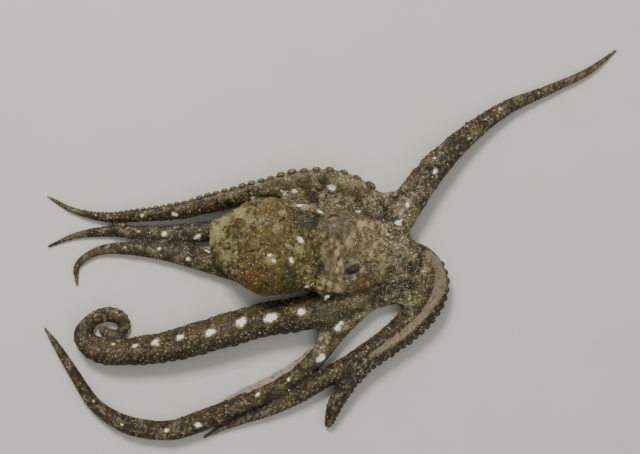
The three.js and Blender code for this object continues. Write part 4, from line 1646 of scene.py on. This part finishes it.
def skin_finish(tones):
    """Wet mottled skin: dark browns under fine flecks, with white spots and coloured areas."""
    g = Graph("wet skin")
    mantle, head, crown, gold, rise, hollow, band, skirt = (
        g.field(name)
        for name in ("mantle", "head", "crown", "gold", "rise", "hollow", "band", "skirt")
    )
    bent = g.warped(3.2, 1.6)
    torn = g.warped(1.6, 1.5)
    cloud = g.noise(9, 3, 0.55)
    mottle = g.noise(3.2, 4, 0.65, bent)
    grain = g.noise(1.0, 3, 0.6)
    patch = g.noise(15, 2)
    cloudy, mottled = cloud - 0.5, mottle - 0.5  # the same, above and below 0
    plain = g.field("plain").rise(0.15, 0.5)
    trunk = head.larger(mantle)

    # The ground colours: arms, crown, head and mantle.
    skirt = (skirt + mottled * 0.5).rise(0.2, 0.7) * skirt.rise(0.0, 0.3)
    arm = arm_colour(g, tones, gold, mottle, cloud, patch, skirt)
    shreds = crown_colour(g, tones, mottle, grain, patch, torn)
    raised = (rise * 0.6 + mottled * 1.7 + cloudy * 0.6).rise(-0.1, 0.5)
    tan = g.mix(raised, tones.head_dark, tones.head_tan)
    tan = g.mix((patch + mottle).rise(1.0, 1.25) * 0.6, tan, tones.slate)
    olive = g.mix((mottle + rise * 0.18).rise(0.38, 0.62), tones.mantle_dark, tones.mantle_olive)
    olive = g.mix((patch + mottle).rise(1.05, 1.3) * 0.7, olive, tones.mantle_pale)
    base = g.mix((crown + cloudy * 0.6).rise(0.1, 0.6), arm, shreds)
    stray = cloudy * 1.4 + mottled * 0.8
    base = g.mix((head + mantle + stray * 0.6).rise(0.3, 0.8), base, tan)
    base = g.mix((mantle + stray).rise(0.2, 0.8), base, olive)

    # The coloured areas: how ragged each is, from where to where it fades in, and its strength; slate
    # also lays painted shade round the right eye.
    for name, ragged_by, start, end, strength, tone in (
        ("slate", 0.9, 0.3, 0.75, 0.9, tones.slate),
        ("ochre", 0.8, 0.25, 0.75, 0.9, tones.ochre),
        ("pale", 1.1, 0.3, 0.8, 0.85, tones.mantle_pale),
        ("pink", 1.6, 0.45, 0.9, 0.8, tones.ridge),
    ):
        area = (g.field(name) + mottled * ragged_by).rise(start, end)
        base = g.mix(area * strength, base, tone)

    # Painted shade in creases, painted highlight on crests, dark grain, and a pale veil of painted light.
    base = g.mix(hollow.rise(0.05, 0.9) * (0.75 - trunk * 0.3), base, tones.arm_dark)
    base = g.mix(hollow.rise(-0.1, -0.9) * 0.3, base, tones.fleck)
    base = g.mix(grain.rise(0.56, 0.34) * (0.4 - trunk * 0.18), base, tones.arm_dark)
    # A pale veil of painted light over the areas listed above.
    base = g.mix(g.field("painted_light") * (0.1 + mottle * 0.12), base, tones.fleck)

    # Flecks, which stay off the band and the mound of the left eye; then the tones of beads and
    # papillae, glints and large blotches.
    density = g.field("flecks") * 0.42 + cloudy * 0.9
    bare = band.rise(-0.5, 1.0) * (1 - plain)
    flecks = g.specks(1.1, density, 0.45, torn)
    flecks = flecks.larger(g.specks(1.9, density * 0.7, 0.42, torn))
    flecks = flecks.larger(g.specks(3.2, density * 0.5 - 0.05, 0.3, torn))
    _, kind = g.cells(2.9, bent)
    fleck = g.mix(gold * kind.rise(0.45, 0.75) * (1 - skirt), tones.fleck, tones.fleck_gold)
    base = g.mix(flecks * bare * grain.rise(0.25, 0.6) * (0.85 - head * 0.35), base, fleck)
    base = g.mix(g.field("fleck").rise(0.0, 1.0) * bare, base, fleck)
    base = g.mix(g.field("fleck").rise(1.0, 2.0) * 0.8, base, tones.spot)
    glints = g.specks(1.5, cloudy * 0.8 + crown * 0.16 - trunk * 0.08, 0.36, bent)
    base = g.mix(glints * bare * (0.9 - gold * 0.4), base, tones.spot)
    large = g.noise(8, 2, 0.5, torn) + mottled * 0.25
    blotch = large.rise(0.5, 0.34) * (0.75 - trunk * 0.5 - gold * 0.4)
    base = g.mix(blotch * bare, base, tones.arm_dark)
    clear = large.rise(0.55, 0.7) * (1 - trunk) * (1 - gold)
    base = g.mix(clear * bare * 0.3, base, tones.fleck)

    # The band, the eye's mound, the edging, the white spots and the fin.
    smooth_band = g.mix(mottle.rise(0.3, 0.6) * 0.6 + 0.4, tones.slate, tones.band)
    base = g.mix((band + mottled * 3.0).rise(1.5, -1.2) * 0.95, base, smooth_band)
    base = g.mix(plain * 0.8, base, g.mix(mottle.rise(0.3, 0.65), tones.slate, tones.eye_mound))
    edging = g.field("edging").rise(0.8, 0.2) * mottle.rise(0.3, 0.5)
    base = g.mix(edging * 0.8, base, tones.fleck)
    spot = g.field("spot") + mottled * 2.2 + (grain - 0.5) * 1.2
    base = g.mix(spot.rise(2.1, 1.1) * 0.6, base, tones.fleck)
    base = g.mix(spot.rise(1.2, 0.85), base, tones.spot)
    fin = g.mix(mottle.rise(0.2, 0.55), tones.arm_brown, tones.fin)
    base = g.mix(g.field("fin") * 0.95, base, fin)

    pits, _ = g.cells(1.4, bent)
    relief = pits * -0.6 + grain * 0.6 + mottle * 0.7
    rough = grain * 0.25 + band.rise(1.0, -0.6) * 0.15 + 0.52
    shine = {"Coat_Weight": 0.05, "Specular_IOR_Level": 0.28}
    return g.finish(base, rough, g.bump(relief, 0.7, 0.9), **shine)


def sucker_finish(tones):
    """Suckers with dark walls and pale rims and middles."""
    g = Graph("suckers")
    grain = g.noise(1.3, 3, 0.6)
    bright = 1 - g.field("skirt") * 0.5
    walls = g.mix(grain.rise(0.35, 0.6), tones.arm_dark, tones.sucker)
    base = g.mix(g.field("rim") * (grain * 0.6 + 0.2) * bright, walls, tones.sucker_rim)
    base = g.mix(g.field("hollow") * bright * 0.75, base, tones.sucker_rim)
    base = g.mix(g.specks(1.2, 0.2, 0.42) * 0.8, base, tones.fleck)
    shine = {"Coat_Weight": 0.08, "Specular_IOR_Level": 0.35}
    return g.finish(base, grain * 0.2 + 0.45, g.bump(grain, 0.25, 0.6), **shine)


def eye_finish(tones, form):
    """A dull brown-grey iris with a dark slit across it, under a clear wet surface."""
    g = Graph("eyes")
    across, up = g.field("eye_across"), g.field("eye_up")
    reach = (across * across + up * up).root()
    grain = g.noise(0.7, 3, 0.6)
    mottle = g.noise(2.2, 3, 0.6)
    iris = g.mix(mottle.rise(0.3, 0.7), tones.arm_brown, tones.iris)
    iris = g.mix(reach.rise(3.0, 4.6) * 0.8, iris, tones.arm_dark)
    slit = (across * across / 10.0 + up * up / 1.4).root()
    base = g.mix((slit + (grain - 0.5) * 0.1).rise(1.05, 0.9), iris, tones.pupil)
    shine = {"Coat_Weight": form.eye_gloss, "Coat_Roughness": 0.2, "Specular_IOR_Level": 0.3}
    return g.finish(base, grain * 0.1 + 0.4, None, **shine)


def floor_finish(stage):
    g = Graph("plain floor")
    cloud = g.noise(60, 4, 0.6)
    base = g.mix(cloud.rise(0.2, 0.8) * 0.06, stage.floor, (1.0, 1.0, 1.0, 1.0))
    return g.finish(base, 0.85, g.bump(g.noise(2.5, 3, 0.6), 0.15, 0.4))


# ---- Stage ------------------------------------------------------------------------------

CAMERA_TARGET = (-0.01045, 0.0085, 0.0)
CAMERA_PLACE = (-0.01045, -0.1428, 0.8579)
SENSOR_WIDTH = 36
CLIP_START = 0.01
# The soft lights: place, side and share of the main light's power.
LIGHTS = [
    {"place": (-0.35, 0.75, 1.15), "side": 0.45, "share": 1.0},
    {"place": (0.9, -0.6, 1.3), "side": 1.2, "share": 0.35},
]
SKY = colour(226, 232, 240)
SKY_STRENGTH = 0.55


def aim(thing, place, target):
    thing.location = place
    thing.rotation_euler = (Vector(target) - Vector(place)).to_track_quat("-Z", "Y").to_euler()


class OCTOPUS_OT_stage(bpy.types.Operator):
    """Set the floor, the light and the camera"""

    bl_idname = "octopus.stage"
    bl_label = "Stage"

    def execute(self, context):
        stage = context.scene.octopus_stage
        floor = add(bpy.ops.mesh.primitive_plane_add, size=stage.floor_size)
        floor.name = "floor"
        floor.data.materials.append(floor_finish(stage))
        for setting in LIGHTS:
            light = add(bpy.ops.object.light_add, type="AREA")
            light.data.energy = stage.key_power * setting["share"]
            light.data.size = setting["side"]
            aim(light, setting["place"], (0, 0, 0))
        world = bpy.data.worlds.new("studio")
        world.use_nodes = True
        sky = world.node_tree.nodes["Background"].inputs
        sky["Color"].default_value = SKY
        sky["Strength"].default_value = SKY_STRENGTH
        context.scene.world = world
        camera = add(bpy.ops.object.camera_add)
        camera.data.lens = stage.lens
        camera.data.sensor_width = SENSOR_WIDTH
        camera.data.clip_start = CLIP_START
        aim(camera, CAMERA_PLACE, CAMERA_TARGET)
        context.scene.camera = camera
        return {"FINISHED"}


class OCTOPUS_PT_model(bpy.types.Panel):
    bl_label = "Octopus"
    bl_space_type = "VIEW_3D"
    bl_region_type = "UI"
    bl_category = "Octopus"

    def draw(self, context):
        for group in (getattr(context.scene, name) for name in GROUPS):
            box = self.layout.box()
            for name in group.__annotations__:
                box.prop(group, name)
        for step in STEPS:
            self.layout.operator(step.bl_idname)


STEPS = [
    OCTOPUS_OT_stage, OCTOPUS_OT_skin, OCTOPUS_OT_suckers, OCTOPUS_OT_eyes, OCTOPUS_OT_beads,
    OCTOPUS_OT_papillae,
]
GROUPS = {
    "octopus_form": OctopusForm, "octopus_colours": OctopusColours, "octopus_stage": OctopusStage,
}


def register():
    for kind in (*GROUPS.values(), *STEPS, OCTOPUS_PT_model):
        bpy.utils.register_class(kind)
    for name, kind in GROUPS.items():
        setattr(bpy.types.Scene, name, bpy.props.PointerProperty(type=kind))


def unregister():
    for name in GROUPS:
        delattr(bpy.types.Scene, name)
    for kind in (OCTOPUS_PT_model, *reversed(STEPS), *GROUPS.values()):
        bpy.utils.unregister_class(kind)


def main():
    register()
    bpy.ops.octopus.stage()
    bpy.ops.octopus.skin()
    bpy.ops.octopus.suckers()
    bpy.ops.octopus.eyes()
    bpy.ops.octopus.beads()
    bpy.ops.octopus.papillae()


if __name__ == "__main__":
    main()
